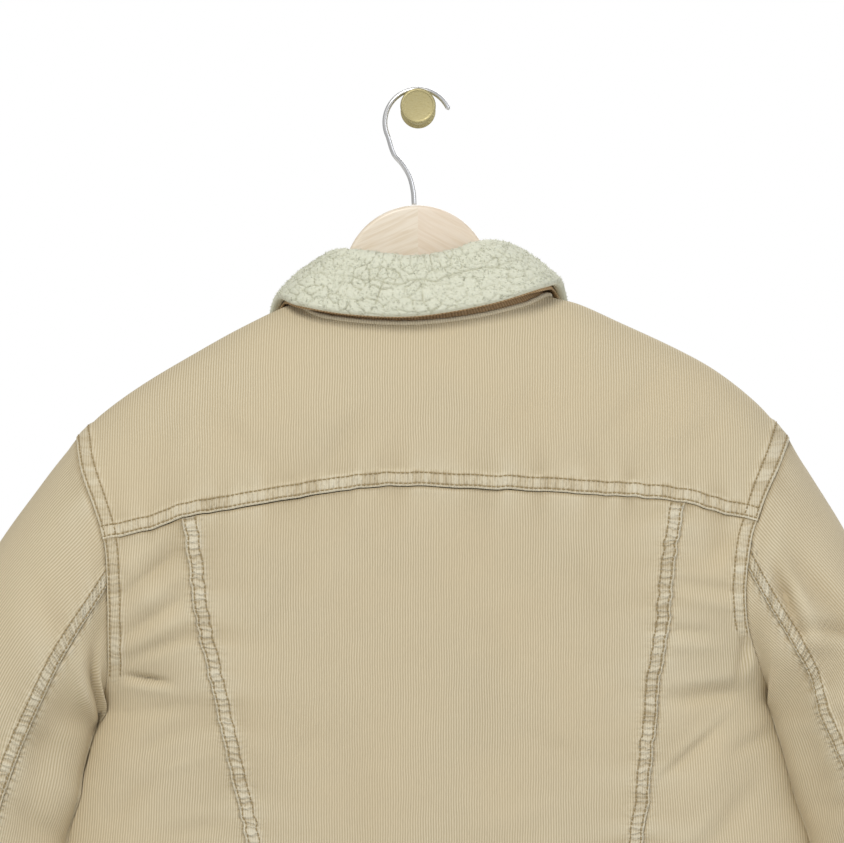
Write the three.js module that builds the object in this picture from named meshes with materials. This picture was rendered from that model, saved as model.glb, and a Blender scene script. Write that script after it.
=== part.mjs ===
// Sherpa lined corduroy jacket, seen from its back, on a wooden hanger that hangs from a brass wall peg.
// Millimetres, +Z up. The origin is the middle of the peg's flat back face, which lies on the wall.
// The wall is the plane y = 0 and the jacket hangs on the side of negative y, its back turned away from the wall.
// "left" is negative x, which is also the wearer's left.
import * as THREE from "three";

// Driving dimensions
const hangY = -66; // plane of the hanger, the shoulder lines and the side seams
const seamGap = 0.3; // space between neighbouring pieces
const curvedGap = 0.5; // inset where a seam curves and the facets of its two pieces differ
const bodyWall = 6; // corduroy with the sherpa pile behind it
const sleeveWall = 3; // corduroy with a quilted sleeve lining
const bandWide = 10; // folded seam band that carries two rows of stitches
const bandSlope = 2.5; // width over which the band falls back to the cloth
const bandRise = 1.2; // height of the band over the cloth
const shoulderReach = 160; // height over which the body rounds out from the shoulder line
const flankReach = 115; // width over which the body rounds out from its side edge
const yokeEnd = { left: -309, right: -296.3 }; // height of the yoke seam at the armholes
const waistTop = -771; // seam of the waistband
const hemZ = -815;
const centreFrontX = 5; // middle of the placket at the neck
const centreFrontLean = 8; // how far the placket leans to the right at the waistband
const placketWide = 38;
const placketWall = 3;
const waistWall = 4;
const cuffDeep = 55;
const cuffWall = 3;
const collarFold = 3.5; // radius of the fold, at the middle of the under collar
const collarGap = 0.5; // between the two layers of the collar
const underCollarWall = 2;
const sherpaWall = 7;
const buttonRadius = 8.5;
const hangerThick = 12;
const hookWire = 3.5;
const pegRadius = 12.7;
const pegShank = 10.3;

// A table with named columns, one object for each row.
function table(names, ...rows) {
  const columns = names.split(" ");
  return rows.map((row) => Object.fromEntries(columns.map((name, i) => [name, row[i]])));
}

// Smooth line through a table: column `to` as a function of column `from`, by cubic Hermite pieces.
function lineThrough(rows, from, to) {
  const sorted = [...rows].sort((a, b) => a[from] - b[from]);
  const t = sorted.map((row) => row[from]);
  const p = sorted.map((row) => row[to]);
  const last = t.length - 1;
  const slope = p.map((_, i) => {
    const before = Math.max(i - 1, 0);
    const after = Math.min(i + 1, last);
    return (p[after] - p[before]) / (t[after] - t[before]);
  });
  return (at) => {
    if (at <= t[0]) return p[0] + slope[0] * (at - t[0]);
    if (at >= t[last]) return p[last] + slope[last] * (at - t[last]);
    const i = t.findIndex((value, k) => at < value && k > 0) - 1;
    const span = t[i + 1] - t[i];
    const s = (at - t[i]) / span;
    const rise = s * s * (3 - 2 * s);
    return (
      p[i] * (1 - rise) +
      p[i + 1] * rise +
      span * slope[i] * s * (1 - s) * (1 - s) -
      span * slope[i + 1] * s * s * (1 - s)
    );
  };
}

const mix = (a, b, t) => a + (b - a) * t;
const clamp = (value, low, high) => Math.min(Math.max(value, low), high);
const smooth = (s) => clamp(s, 0, 1) ** 2 * (3 - 2 * clamp(s, 0, 1));

// Outlines of the body in the plane of the hanger
const shoulderLine = table(
  "x z",
  [-242, -236],
  [-226, -220],
  [-197, -199],
  [-155, -174],
  [-126, -158],
  [-90, -141],
  [-45, -126],
  [4, -121],
  [55, -124],
  [94, -136],
  [115, -142],
  [143, -155.5],
  [186, -175.5],
  [214, -191],
  [243, -214.5],
  [263, -236],
);
const yokeSeam = table(
  "x z",
  [-222, -309],
  [-189, -302],
  [-167, -294],
  [-132, -287],
  [-98, -281.5],
  [-30, -271.7],
  [21, -271.7],
  [101, -275.8],
  [165, -279.7],
  [189, -283],
  [214, -289.6],
  [239.5, -296.3],
);
// One row for each side: the underarm, and where the neck seam crosses the shoulder line.
const armpit = { left: { x: -226, z: -432 }, right: { x: 252, z: -426 } };
const armholeBack = {
  left: table(
    "z x",
    [-236, -242],
    [-262, -236],
    [-287, -227.5],
    [-309, -222],
    [-346, -220],
    [-405, -220.5],
    [-432, -226],
  ),
  right: table(
    "z x",
    [-236, 263],
    [-262, 253],
    [-287, 242],
    [-309, 236],
    [-346, 232],
    [-375, 235],
    [-426, 252],
  ),
};
const armholeFront = {
  left: table(
    "z x",
    [-236, -242],
    [-262, -230],
    [-300, -215],
    [-346, -206],
    [-390, -206],
    [-418, -214],
    [-432, -226],
  ),
  right: table(
    "z x",
    [-236, 263],
    [-262, 249],
    [-300, 233],
    [-346, 223],
    [-385, 226],
    [-412, 237],
    [-426, 252],
  ),
};
const flank = {
  left: table(
    "z x",
    [-432, -226],
    [-456, -236],
    [-503, -248],
    [-525, -253],
    [-600, -266],
    [-680, -268],
    [-740, -262],
    [-771, -256],
    [-815, -251],
  ),
  right: table(
    "z x",
    [-426, 252],
    [-465, 264],
    [-494, 271],
    [-524, 282],
    [-600, 293],
    [-680, 294],
    [-740, 287],
    [-771, 281],
    [-815, 276],
  ),
};
const princess = {
  left: table(
    "z x",
    [-294, -167],
    [-346, -160],
    [-395, -151],
    [-437, -140.6],
    [-474, -132.8],
    [-525, -120.7],
    [-771, -78],
  ),
  right: table(
    "z x",
    [-283, 189],
    [-325, 182],
    [-376, 177],
    [-403, 172],
    [-440, 168.3],
    [-524, 159.3],
    [-771, 122],
  ),
};
const fullness = table(
  "z back front",
  [-840, 46, 38],
  [-771, 51, 42],
  [-640, 58, 47],
  [-300, 56, 46],
  [-100, 56, 46],
);

// Large drape folds of the body: middle, direction in degrees from level, length, half width and height (troughs
// are negative).
const bodyFolds = {
  back: table(
    "x z turn long wide high",
    [-197, -338, -52, 90, 11, 4],
    [-178, -352, -50, 100, 13, -3.5],
    [-196, -408, -4, 60, 9, -4.5],
    [213, -312, 40, 60, 15, -5],
    [196, -455, 47, 120, 13, -4],
    [214, -474, 50, 120, 15, 4],
    [238, -398, 30, 60, 9, 4.5],
    [212, -414, -8, 80, 10, -4],
    [-215, -560, 78, 190, 22, 5],
    [-182, -600, 84, 210, 24, -5],
    [236, -590, -80, 190, 24, 6],
    [206, -640, -86, 190, 24, -5],
    [-52, -236, 55, 80, 12, -2.5],
    [60, -640, 86, 220, 40, -3.5],
    [-30, -660, 94, 200, 36, 3],
    [-205, -742, 12, 110, 14, 5],
    [225, -738, -10, 120, 15, 5],
  ),
  front: table(
    "x z turn long wide high",
    [-180, -345, -48, 110, 13, -4],
    [196, -345, 50, 110, 13, -4],
    [-205, -560, 80, 190, 24, 5],
    [-160, -610, 86, 210, 26, -4],
    [232, -590, -80, 190, 24, 5],
    [180, -620, -86, 210, 26, -4],
    [-200, -742, 8, 120, 14, 4],
    [215, -740, -12, 120, 14, 4],
  ),
};

const shoulderZ = lineThrough(shoulderLine, "x", "z");
const yokeZ = lineThrough(yokeSeam, "x", "z");
const flankX = {
  left: lineThrough(flank.left, "z", "x"),
  right: lineThrough(flank.right, "z", "x"),
};
const fullAt = {
  back: lineThrough(fullness, "z", "back"),
  front: lineThrough(fullness, "z", "front"),
};
const armholeX = {
  back: {
    left: lineThrough(armholeBack.left, "z", "x"),
    right: lineThrough(armholeBack.right, "z", "x"),
  },
  front: {
    left: lineThrough(armholeFront.left, "z", "x"),
    right: lineThrough(armholeFront.right, "z", "x"),
  },
};
const princessX = {
  left: lineThrough(princess.left, "z", "x"),
  right: lineThrough(princess.right, "z", "x"),
};
const faceSign = { back: -1, front: 1 };
const sideSign = { left: -1, right: 1 };

// 0 on an edge and 1 from one reach inwards, along a quarter circle.
const roundOut = (s) => (s >= 1 ? 1 : Math.sqrt(Math.max(0, 1 - (1 - s) ** 2)));

// How far a point lies inside the side edge. Over the underarm the edge spreads into the open armhole.
function insideFlank(x, z, side) {
  const pit = armpit[side];
  const above = Math.max(0, z - pit.z);
  const edge = above > 0 ? pit.x : flankX[side](z);
  const armholeSpread = 0.9 * (above * above) / (above + 30);
  return (edge - x) * sideSign[side] + armholeSpread;
}

// Height of all the folds of one face at a point: a round ridge that fades towards its ends.
function foldsAt(x, z, face) {
  return bodyFolds[face].reduce((sum, fold) => {
    const angle = THREE.MathUtils.degToRad(fold.turn);
    const along = (x - fold.x) * Math.cos(angle) + (z - fold.z) * Math.sin(angle);
    const across = (z - fold.z) * Math.cos(angle) - (x - fold.x) * Math.sin(angle);
    const fade = Math.max(0, 1 - (2 * along / fold.long) ** 2) ** 2;
    return sum + fold.high * fade * Math.exp(-((across / fold.wide) ** 2));
  }, 0);
}

// Distance of the body's outer surface from the hanger's plane.
function bodyDepth(x, z, face) {
  const below = roundOut((shoulderZ(x) - z) / shoulderReach);
  const left = roundOut(insideFlank(x, z, "left") / flankReach);
  const right = roundOut(insideFlank(x, z, "right") / flankReach);
  return (fullAt[face](z) + foldsAt(x, z, face)) * below * left * right;
}

// Outward direction of the body's surface, level with the hanger's plane where the two faces meet.
function bodyNormal(x, z, face) {
  const nudge = 0.1;
  const step = 0.04;
  const atZ = Math.min(z, shoulderZ(x) - nudge);
  const above = { left: atZ > armpit.left.z, right: atZ > armpit.right.z };
  const low = above.left ? -Infinity : flankX.left(atZ) + nudge;
  const high = above.right ? Infinity : flankX.right(atZ) - nudge;
  const atX = clamp(x, low, high);
  const slopeX = (bodyDepth(atX + step, atZ, face) - bodyDepth(atX - step, atZ, face)) / (2 * step);
  const slopeZ = (bodyDepth(atX, atZ + step, face) - bodyDepth(atX, atZ - step, face)) / (2 * step);
  const level = bodyDepth(x, z, face) <= seamGap / 2 ? 0 : faceSign[face];
  return new THREE.Vector3(-slopeX, level, -slopeZ).normalize();
}

// Point of the body over (x, z), moved out along the surface's normal.
function bodyPoint(x, z, face, out = 0) {
  const depth = Math.max(bodyDepth(x, z, face), seamGap / 2);
  const point = new THREE.Vector3(x, hangY + faceSign[face] * depth, z);
  return point.addScaledVector(bodyNormal(x, z, face), out);
}

// Closed solid between two grids of points, outer[row][column] and inner[row][column].
function wallSolid(outer, inner) {
  const rows = outer.length;
  const columns = outer[0].length;
  const index = [];
  const at = (layer, row, column) => (layer * rows + row) * columns + column;
  const quad = (a, b, c, d) => index.push(a, b, c, a, c, d);
  for (let row = 0; row < rows - 1; row += 1) {
    for (let column = 0; column < columns - 1; column += 1) {
      quad(at(0, row, column), at(0, row, column + 1), at(0, row + 1, column + 1), at(0, row + 1, column));
      quad(at(1, row, column), at(1, row + 1, column), at(1, row + 1, column + 1), at(1, row, column + 1));
    }
  }
  for (let column = 0; column < columns - 1; column += 1) {
    quad(at(1, 0, column), at(1, 0, column + 1), at(0, 0, column + 1), at(0, 0, column));
    const end = rows - 1;
    quad(at(0, end, column), at(0, end, column + 1), at(1, end, column + 1), at(1, end, column));
  }
  for (let row = 0; row < rows - 1; row += 1) {
    quad(at(0, row, 0), at(0, row + 1, 0), at(1, row + 1, 0), at(1, row, 0));
    const end = columns - 1;
    quad(at(1, row, end), at(1, row + 1, end), at(0, row + 1, end), at(0, row, end));
  }
  const points = [outer, inner].flat(2);
  return facingOut(points, index);
}

// Geometry of a closed surface, with its faces turned outwards.
function facingOut(points, index) {
  let volume = 0;
  for (let i = 0; i < index.length; i += 3) {
    const [a, b, c] = [points[index[i]], points[index[i + 1]], points[index[i + 2]]];
    volume += a.dot(new THREE.Vector3().crossVectors(b, c));
  }
  if (volume < 0) index.reverse();
  const geometry = new THREE.BufferGeometry();
  geometry.setAttribute("position", new THREE.Float32BufferAttribute(points.flatMap((p) => p.toArray()), 3));
  geometry.setIndex(index);
  geometry.computeVertexNormals();
  return geometry;
}

// Places across a panel: one edge, a raised band where there is one, and steps between. Each place is a distance
// from the edges as a function of the panel's length there, and says whether the band raises it.
function places(count, { bandLow = 0, bandHigh = 0, insetLow = 0, insetHigh = 0, power = 1 } = {}) {
  const low = bandLow ? bandLow + bandSlope : insetLow;
  const high = bandHigh ? bandHigh + bandSlope : insetHigh;
  const list = [];
  if (bandLow) {
    list.push({ at: (length) => insetLow / length, raised: 1 });
    list.push({ at: (length) => bandLow / length, raised: 1 });
  }
  for (let i = 0; i <= count; i += 1) {
    const share = (i / count) ** power;
    list.push({ at: (length) => (low + share * (length - low - high)) / length, raised: 0 });
  }
  if (bandHigh) {
    list.push({ at: (length) => 1 - bandHigh / length, raised: 1 });
    list.push({ at: (length) => 1 - insetHigh / length, raised: 1 });
  }
  return list;
}

// The same places counted from the far edge, for a panel that mirrors its neighbour.
function turnAround(list) {
  list.reverse();
  list.forEach((place) => {
    const { at } = place;
    place.at = (length) => 1 - at(length);
  });
}

// Panel of the body between four edges, each a function of 0 to 1 that gives {x, z}: a Coons patch in the plane
// of the hanger, carried out to the body's surface.
function bodyPanel({ face, left, right, top, bottom, across, down, raise = () => 0, wall = bodyWall, out = 0 }) {
  const inPlane = (u, v) => {
    const sides = { a: left(v), b: right(v), c: top(u), d: bottom(u) };
    const corner = { a: top(0), b: top(1), c: bottom(0), d: bottom(1) };
    const blend = (key) =>
      mix(sides.a[key], sides.b[key], u) +
      mix(sides.c[key], sides.d[key], v) -
      mix(mix(corner.a[key], corner.b[key], u), mix(corner.c[key], corner.d[key], u), v);
    return { x: blend("x"), z: blend("z") };
  };
  const far = (a, b) => Math.hypot(a.x - b.x, a.z - b.z);
  const outer = [];
  const inner = [];
  for (const row of down) {
    const outerRow = [];
    const innerRow = [];
    for (const column of across) {
      const guessV = row.at(far(top(0.5), bottom(0.5)));
      const u = column.at(far(left(guessV), right(guessV)));
      const v = row.at(far(top(u), bottom(u)));
      const { x, z } = inPlane(u, v);
      const lift = out + bandRise * raise(row, column, u, v);
      outerRow.push(bodyPoint(x, z, face, lift));
      innerRow.push(bodyPoint(x, z, face, out - wall));
    }
    outer.push(outerRow);
    inner.push(innerRow);
  }
  return wallSolid(outer, inner);
}

// Collar sections from the left front end round the back to the right front end. The seam lies on the body, and
// fold and edge are places of the under collar's middle, y measured from the hanger's plane.
const collarRows = table(
  "face seamX seamZ foldX foldY foldZ edgeX edgeY edgeZ",
  ["front", -16, -211, -15, 42, -197, -58, 54, -272],
  ["front", -52, -194, -41, 35, -168, -92, 53, -230],
  ["front", -82, -163, -60, 19, -134, -109, 34, -176],
  ["back", -90, -141, -69, 2, -117, -102, 3, -140.5],
  ["back", -70, -150, -57, -19, -113, -86, -27, -146],
  ["back", -38, -154.5, -28, -27, -117, -46, -39, -150.5],
  ["back", 0, -155.5, 0, -28.5, -119.7, -1, -42, -151.5],
  ["back", 40, -151, 27, -27, -114, 48, -39, -143.5],
  ["back", 74, -143, 54, -19, -107, 88, -27, -135],
  ["back", 94, -136, 69, 2, -111, 104, 3, -133.5],
  ["front", 86, -158, 58, 19, -128, 111, 34, -170],
  ["front", 62, -190, 49, 35, -163, 100, 53, -226],
  ["front", 26, -211, 25, 42, -197, 68, 54, -270],
).map((row, at) => ({ ...row, at }));
const sideRow = { left: 3, right: 9 };
const lastCollarRow = collarRows.length - 1;
const collarColumn = Object.fromEntries(
  Object.keys(collarRows[0])
    .filter((name) => name !== "face")
    .map((name) => [name, lineThrough(collarRows, "at", name)]),
);
const neckAt = (at) => ({ x: collarColumn.seamX(at), z: collarColumn.seamZ(at) });

function makeBackYoke() {
  const tip = { left: armholeBack.left[0], right: armholeBack.right[0] };
  const neck = { left: neckAt(sideRow.left), right: neckAt(sideRow.right) };
  const shoulderShare = 0.32; // share of the top edge that each shoulder line takes
  const onShoulder = (x) => ({ x, z: shoulderZ(x) });
  const top = (u) => {
    if (u < shoulderShare) return onShoulder(mix(tip.left.x, neck.left.x, u / shoulderShare));
    if (u > 1 - shoulderShare) return onShoulder(mix(tip.right.x, neck.right.x, (1 - u) / shoulderShare));
    return neckAt(mix(sideRow.left, sideRow.right, (u - shoulderShare) / (1 - 2 * shoulderShare)));
  };
  const edge = (side) => (v) => {
    const z = mix(tip[side].z, yokeEnd[side], v);
    return { x: armholeX.back[side](z), z };
  };
  const bottom = (u) => {
    const x = mix(armholeX.back.left(yokeEnd.left), armholeX.back.right(yokeEnd.right), u);
    return { x, z: yokeZ(x) };
  };
  const steps = 25;
  const across = [...Array(steps + 1).keys()].map((i) => ({ at: () => i / steps, raised: 0 }));
  return bodyPanel({
    face: "back",
    left: edge("left"),
    right: edge("right"),
    top,
    bottom,
    across,
    down: places(7, { bandHigh: bandWide, insetHigh: seamGap / 2, power: 1.6 }),
    raise: (row) => row.raised,
  });
}

function makeBackCentre() {
  const start = { left: princess.left[0], right: princess.right[0] };
  const edge = (side) => (v) => {
    const z = mix(start[side].z, waistTop, v);
    return { x: princessX[side](z), z };
  };
  return bodyPanel({
    face: "back",
    left: edge("left"),
    right: edge("right"),
    top: (u) => {
      const x = mix(start.left.x, start.right.x, u);
      return { x, z: yokeZ(x) };
    },
    bottom: (u) => ({ x: mix(princessX.left(waistTop), princessX.right(waistTop), u), z: waistTop }),
    across: places(10, {
      bandLow: bandWide,
      bandHigh: bandWide,
      insetLow: seamGap / 2,
      insetHigh: seamGap / 2,
    }),
    down: places(16, { insetLow: curvedGap, insetHigh: seamGap / 2 }),
    raise: (row, column) => column.raised,
  });
}

// Places down a body panel that pass exactly through the height of the underarm.
function downPastArmpit(start, side, above, below) {
  const pitShare = (armpit[side].z - start) / (waistTop - start);
  const inset = seamGap / 2 / (start - waistTop);
  const topInset = curvedGap / (start - waistTop);
  const list = [];
  for (let i = 0; i < above; i += 1) list.push(mix(topInset, pitShare, i / above));
  for (let i = 0; i <= below; i += 1) list.push(mix(pitShare, 1 - inset, i / below));
  return list.map((share) => ({ at: () => share, raised: 0, pitShare }));
}

function makeBackSide(side) {
  const outside = (v) => {
    const z = mix(yokeEnd[side], waistTop, v);
    return { x: z > armpit[side].z ? armholeX.back[side](z) : flankX[side](z), z };
  };
  const inside = (v) => {
    const z = mix(princess[side][0].z, waistTop, v);
    return { x: princessX[side](z), z };
  };
  const yokePart = (share) => {
    const x = mix(armholeX.back[side](yokeEnd[side]), princess[side][0].x, share);
    return { x, z: yokeZ(x) };
  };
  const waistPart = (share) => ({
    x: mix(flankX[side](waistTop), princessX[side](waistTop), share),
    z: waistTop,
  });
  const mirrored = side === "right";
  const flip = (edge) => (mirrored ? (u) => edge(1 - u) : edge);
  const band = { bandLow: bandWide, insetHigh: curvedGap };
  const across = places(8, { ...band, power: 1.35 });
  if (mirrored) {
    turnAround(across);
  }
  return bodyPanel({
    face: "back",
    left: mirrored ? inside : outside,
    right: mirrored ? outside : inside,
    top: flip(yokePart),
    bottom: flip(waistPart),
    across,
    down: downPastArmpit(yokeEnd[side], side, 7, 12),
    raise: (row, column, u, v) => column.raised * (1 - smooth((v - row.pitShare + 0.05) / 0.05)),
  });
}

const centreFrontAt = (z) => centreFrontX + centreFrontLean * ((z + 214) / (waistTop + 214));

function makeFront(side) {
  const tip = armholeFront[side][0];
  const endRow = side === "left" ? 0 : lastCollarRow;
  const neckShare = 0.17; // share of the inner edge that the neck takes
  const neckEnd = { x: centreFrontAt(-214) + sideSign[side] * seamGap / 2, z: -214 };
  const outside = (v) => {
    const z = mix(tip.z, waistTop, v);
    return { x: z > armpit[side].z ? armholeX.front[side](z) : flankX[side](z), z };
  };
  const inside = (v) => {
    if (v < neckShare) {
      const collarEnd = 0.86; // the collar stops short of the centre
      const share = v / neckShare;
      if (share < collarEnd) return neckAt(mix(sideRow[side], endRow, share / collarEnd));
      const last = neckAt(endRow);
      const rest = (share - collarEnd) / (1 - collarEnd);
      return { x: mix(last.x, neckEnd.x, rest), z: mix(last.z, neckEnd.z, rest) };
    }
    const z = mix(neckEnd.z, waistTop, (v - neckShare) / (1 - neckShare));
    return { x: centreFrontAt(z) + sideSign[side] * seamGap / 2, z };
  };
  const shoulder = (share) => {
    const x = mix(tip.x, neckAt(sideRow[side]).x, share);
    return { x, z: shoulderZ(x) };
  };
  const waist = (share) => ({ x: mix(flankX[side](waistTop), inside(1).x, share), z: waistTop });
  const mirrored = side === "right";
  const flip = (edge) => (mirrored ? (u) => edge(1 - u) : edge);
  const across = places(10, { bandLow: bandWide, power: 1.35 });
  if (mirrored) {
    turnAround(across);
  }
  const pitShare = (armpit[side].z - tip.z) / (waistTop - tip.z);
  const shares = [
    ...[0, 0.02, 0.08, 0.2, 0.42, 0.7].map((s) => s * neckShare),
    ...[0, 0.34, 0.67].map((s) => mix(neckShare, pitShare, s)),
    ...[...Array(12).keys()].map((i) => mix(pitShare, 1 - seamGap / 2 / (tip.z - waistTop), i / 11)),
  ];
  return bodyPanel({
    face: "front",
    left: mirrored ? inside : outside,
    right: mirrored ? outside : inside,
    top: flip(shoulder),
    bottom: flip(waist),
    across,
    down: shares.map((share) => ({ at: () => share, raised: 0 })),
    raise: (row, column, u, v) => column.raised * (1 - smooth((v - pitShare + 0.05) / 0.05)),
  });
}

function makePlacket() {
  const topZ = -217;
  const bottomZ = waistTop + seamGap;
  const edge = (offset) => (v) => {
    const z = mix(topZ, bottomZ, v);
    return { x: centreFrontAt(z) + offset, z };
  };
  const half = placketWide / 2;
  const end = (z) => (u) => ({ x: centreFrontAt(z) + mix(-half, half, u), z });
  return bodyPanel({
    face: "front",
    left: edge(-half),
    right: edge(half),
    top: end(topZ),
    bottom: end(bottomZ),
    across: places(2),
    down: places(16),
    wall: placketWall,
    out: seamGap + placketWall,
  });
}

// Strip round the hem. It starts under the placket, goes round by the right side and the back, and laps over its
// own start.
function makeWaistband() {
  const overlap = placketWide / 2;
  const centreX = centreFrontAt(waistTop);
  const steps = { front: 8, back: 26 };
  const lapStart = centreX - 62;
  const lapFull = centreX - overlap - 3;
  // Closer steps where the strip turns at the sides
  const toSide = (s) => Math.sin((s * Math.PI) / 2);
  const fromSide = (s) => 1 - Math.cos((s * Math.PI) / 2);
  const bothSides = (s) => (1 - Math.cos(Math.PI * s)) / 2;
  const path = [
    { face: "front", from: centreX - overlap, to: "right", count: steps.front, ease: toSide },
    { face: "back", from: "right", to: "left", count: steps.back, ease: bothSides },
    { face: "front", from: "left", to: centreX + overlap, count: steps.front + 3, ease: fromSide },
  ];
  const outer = [];
  const inner = [];
  for (const share of [0, 0.5, 1]) {
    const z = mix(waistTop - seamGap / 2, hemZ, share);
    const outerRow = [];
    const innerRow = [];
    path.forEach((part, partIndex) => {
      const place = (end) => (typeof end === "string" ? flankX[end](z) : end);
      for (let i = partIndex === 0 ? 0 : 1; i <= part.count; i += 1) {
        const s = i / part.count;
        const eased = part.ease(s);
        const x = mix(place(part.from), place(part.to), eased);
        const over = partIndex === 2 ? smooth((x - lapStart) / (lapFull - lapStart)) : 0;
        const lap = (waistWall + 2 * seamGap) * over;
        const outward = bodyNormal(x, z, part.face).setZ(0).normalize();
        const surface = bodyPoint(x, z, part.face);
        outerRow.push(surface.clone().addScaledVector(outward, bandRise + lap));
        innerRow.push(surface.clone().addScaledVector(outward, bandRise + lap - waistWall));
      }
    });
    outer.push(outerRow);
    inner.push(innerRow);
  }
  return wallSolid(outer, inner);
}

// Sleeve sections along the axis from the underarm: centre, tilt from upright, half width in the hanger's plane,
// half depth, and the place of the back seam round the section, 0 outside and 180 inside.
const sleeveRows = {
  left: table(
    "at x z tilt wide deep seam",
    [0, -262, -375, 36, 60, 56, 98],
    [1, -288.4, -415, 31, 60, 58, 114],
    [2, -305, -459, 27, 62, 57, 111],
    [3, -323.6, -532, 24, 62, 56, 104],
    [4, -359, -620, 20.5, 61, 55, 100],
    [5, -390, -710, 17.5, 58, 51, 98],
    [6, -411, -780, 15.5, 52, 45, 96],
    [7, -415.5, -796, 15, 49, 42, 96],
  ),
  right: table(
    "at x z tilt wide deep seam",
    [0, 285, -372, 34, 52, 58, 90],
    [1, 306, -413, 29, 52, 61, 121],
    [2, 325, -467, 25, 54, 60, 116],
    [3, 345, -536, 22, 56, 58, 107],
    [4, 376.5, -625, 19, 57, 56, 101],
    [5, 404, -716, 16.5, 55, 52, 98],
    [6, 423, -786, 15, 50, 45, 96],
    [7, 427, -802, 15, 47.5, 42, 96],
  ),
};
const frontSeamAngle = 248;
const sleeveSwell = { left: 4, right: 0 };
// Large folds across a sleeve: place along and round it, tilt, half widths along and round it, and height.
const sleeveFolds = {
  left: table(
    "at angle along round high",
    [0.9, 150, 0.25, 22, -5],
    [1.6, 128, 0.7, 12, -4],
    [3.6, 170, 0.16, 60, -5],
    [4.05, 185, 0.14, 50, 4],
    [5.6, 60, 0.2, 70, 3.5],
    [6.15, 110, 0.14, 60, -3],
    [5.5, 240, 0.2, 60, 3.5],
  ),
  right: table(
    "at angle along round high",
    [0.75, 100, 0.16, 26, -6],
    [1.15, 80, 0.14, 40, 3.5],
    [1.7, 140, 0.5, 12, -4],
    [3.5, 165, 0.16, 60, -5],
    [3.95, 180, 0.14, 55, 4],
    [5.6, 90, 0.2, 70, 3.5],
    [6.15, 150, 0.14, 60, -3],
    [5.4, 260, 0.2, 60, 3],
  ),
};
const sleeveColumn = Object.fromEntries(
  ["left", "right"].map((side) => [
    side,
    Object.fromEntries(
      Object.keys(sleeveRows[side][0]).map((name) => [name, lineThrough(sleeveRows[side], "at", name)]),
    ),
  ]),
);

// Armhole as one loop: 0 degrees at the shoulder, 180 at the underarm, the back first. Equal angles are equal
// lengths of the edge.
function armholeLoop(side) {
  const samples = 60;
  const halves = ["back", "front"].map((face) => {
    const start = (face === "back" ? armholeBack : armholeFront)[side][0].z;
    const list = [];
    let length = 0;
    for (let i = 0; i <= samples; i += 1) {
      const z = mix(start, armpit[side].z, (1 - Math.cos((Math.PI * i) / samples)) / 2);
      const x = armholeX[face][side](z);
      const point = bodyPoint(x, z, face);
      if (i) length += point.distanceTo(list[i - 1].point);
      list.push({ point, length, normal: bodyNormal(x, z, face) });
    }
    return list;
  });
  return (angle) => {
    const list = angle <= 180 ? halves[0] : halves[1];
    const share = (angle <= 180 ? angle : 360 - angle) / 180;
    const length = share * list[samples].length;
    const i = clamp(list.findIndex((entry) => entry.length >= length) - 1, 0, samples - 1);
    const s = (length - list[i].length) / (list[i + 1].length - list[i].length);
    return {
      point: list[i].point.clone().lerp(list[i + 1].point, s),
      normal: list[i].normal.clone().lerp(list[i + 1].normal, s).normalize(),
    };
  };
}

const turned = (angle) => ((angle % 360) + 360) % 360;

// Centre, outward direction and section of a sleeve at one place along it.
function sleeveSection(side, at) {
  const value = (name) => sleeveColumn[side][name](at);
  const tilt = THREE.MathUtils.degToRad(value("tilt"));
  return {
    centre: new THREE.Vector3(value("x"), hangY, value("z")),
    outward: new THREE.Vector3(sideSign[side] * Math.cos(tilt), 0, Math.sin(tilt)),
    down: new THREE.Vector3(sideSign[side] * Math.sin(tilt), 0, -Math.cos(tilt)),
    wide: value("wide"),
    deep: value("deep"),
  };
}

function sleeveEllipse(side, at, angle, more = 0) {
  const section = sleeveSection(side, at);
  const a = THREE.MathUtils.degToRad(angle);
  return section.centre
    .clone()
    .addScaledVector(section.outward, (section.wide + more) * Math.cos(a))
    .add(new THREE.Vector3(0, -(section.deep + more) * Math.sin(a), 0));
}

function sleeveFoldsAt(side, at, angle) {
  return sleeveFolds[side].reduce((sum, fold) => {
    const turn = turned(angle - fold.angle + 180) - 180;
    return sum + fold.high * Math.exp(-(((at - fold.at) / fold.along) ** 2) - (turn / fold.round) ** 2);
  }, 0);
}

// Sleeve surface: straight lines from the armhole to the first section, then from section to section.
function sleevePoint(side, loop, at, angle) {
  const folds = sleeveFoldsAt(side, at, angle) * smooth(at / 0.5) * smooth((7 - at) / 0.6);
  if (at >= 1) return sleeveEllipse(side, at, angle, folds);
  const start = loop(turned(angle)).point;
  const end = sleeveEllipse(side, 1, angle, folds);
  const lean = end.clone().sub(start).normalize();
  const turn = Math.cos(THREE.MathUtils.degToRad(angle));
  const swell = sleeveSwell[side] * Math.sin(Math.PI * at) * Math.max(0, turn);
  const aside = new THREE.Vector3(sideSign[side] * curvedGap * (1 - turn) * (1 - at), 0, 0);
  return start
    .lerp(end, at)
    .addScaledVector(lean, 2.5 * curvedGap * (1 - at))
    .add(aside)
    .addScaledVector(sleeveSection(side, 1).outward, swell);
}

// Outward direction of a sleeve's surface, from small steps along it and round it.
function sleeveNormal(side, loop, at, angle) {
  const step = 0.02;
  const turn = 0.5;
  const along = sleevePoint(side, loop, at + step, angle);
  along.sub(sleevePoint(side, loop, Math.max(at - step, 0), angle));
  const round = sleevePoint(side, loop, at, angle + turn).sub(sleevePoint(side, loop, at, angle - turn));
  const normal = along.cross(round).normalize();
  const from = sleevePoint(side, loop, at, angle).sub(sleeveSection(side, Math.max(at, 1)).centre);
  return normal.dot(from) < 0 ? normal.negate() : normal;
}

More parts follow.
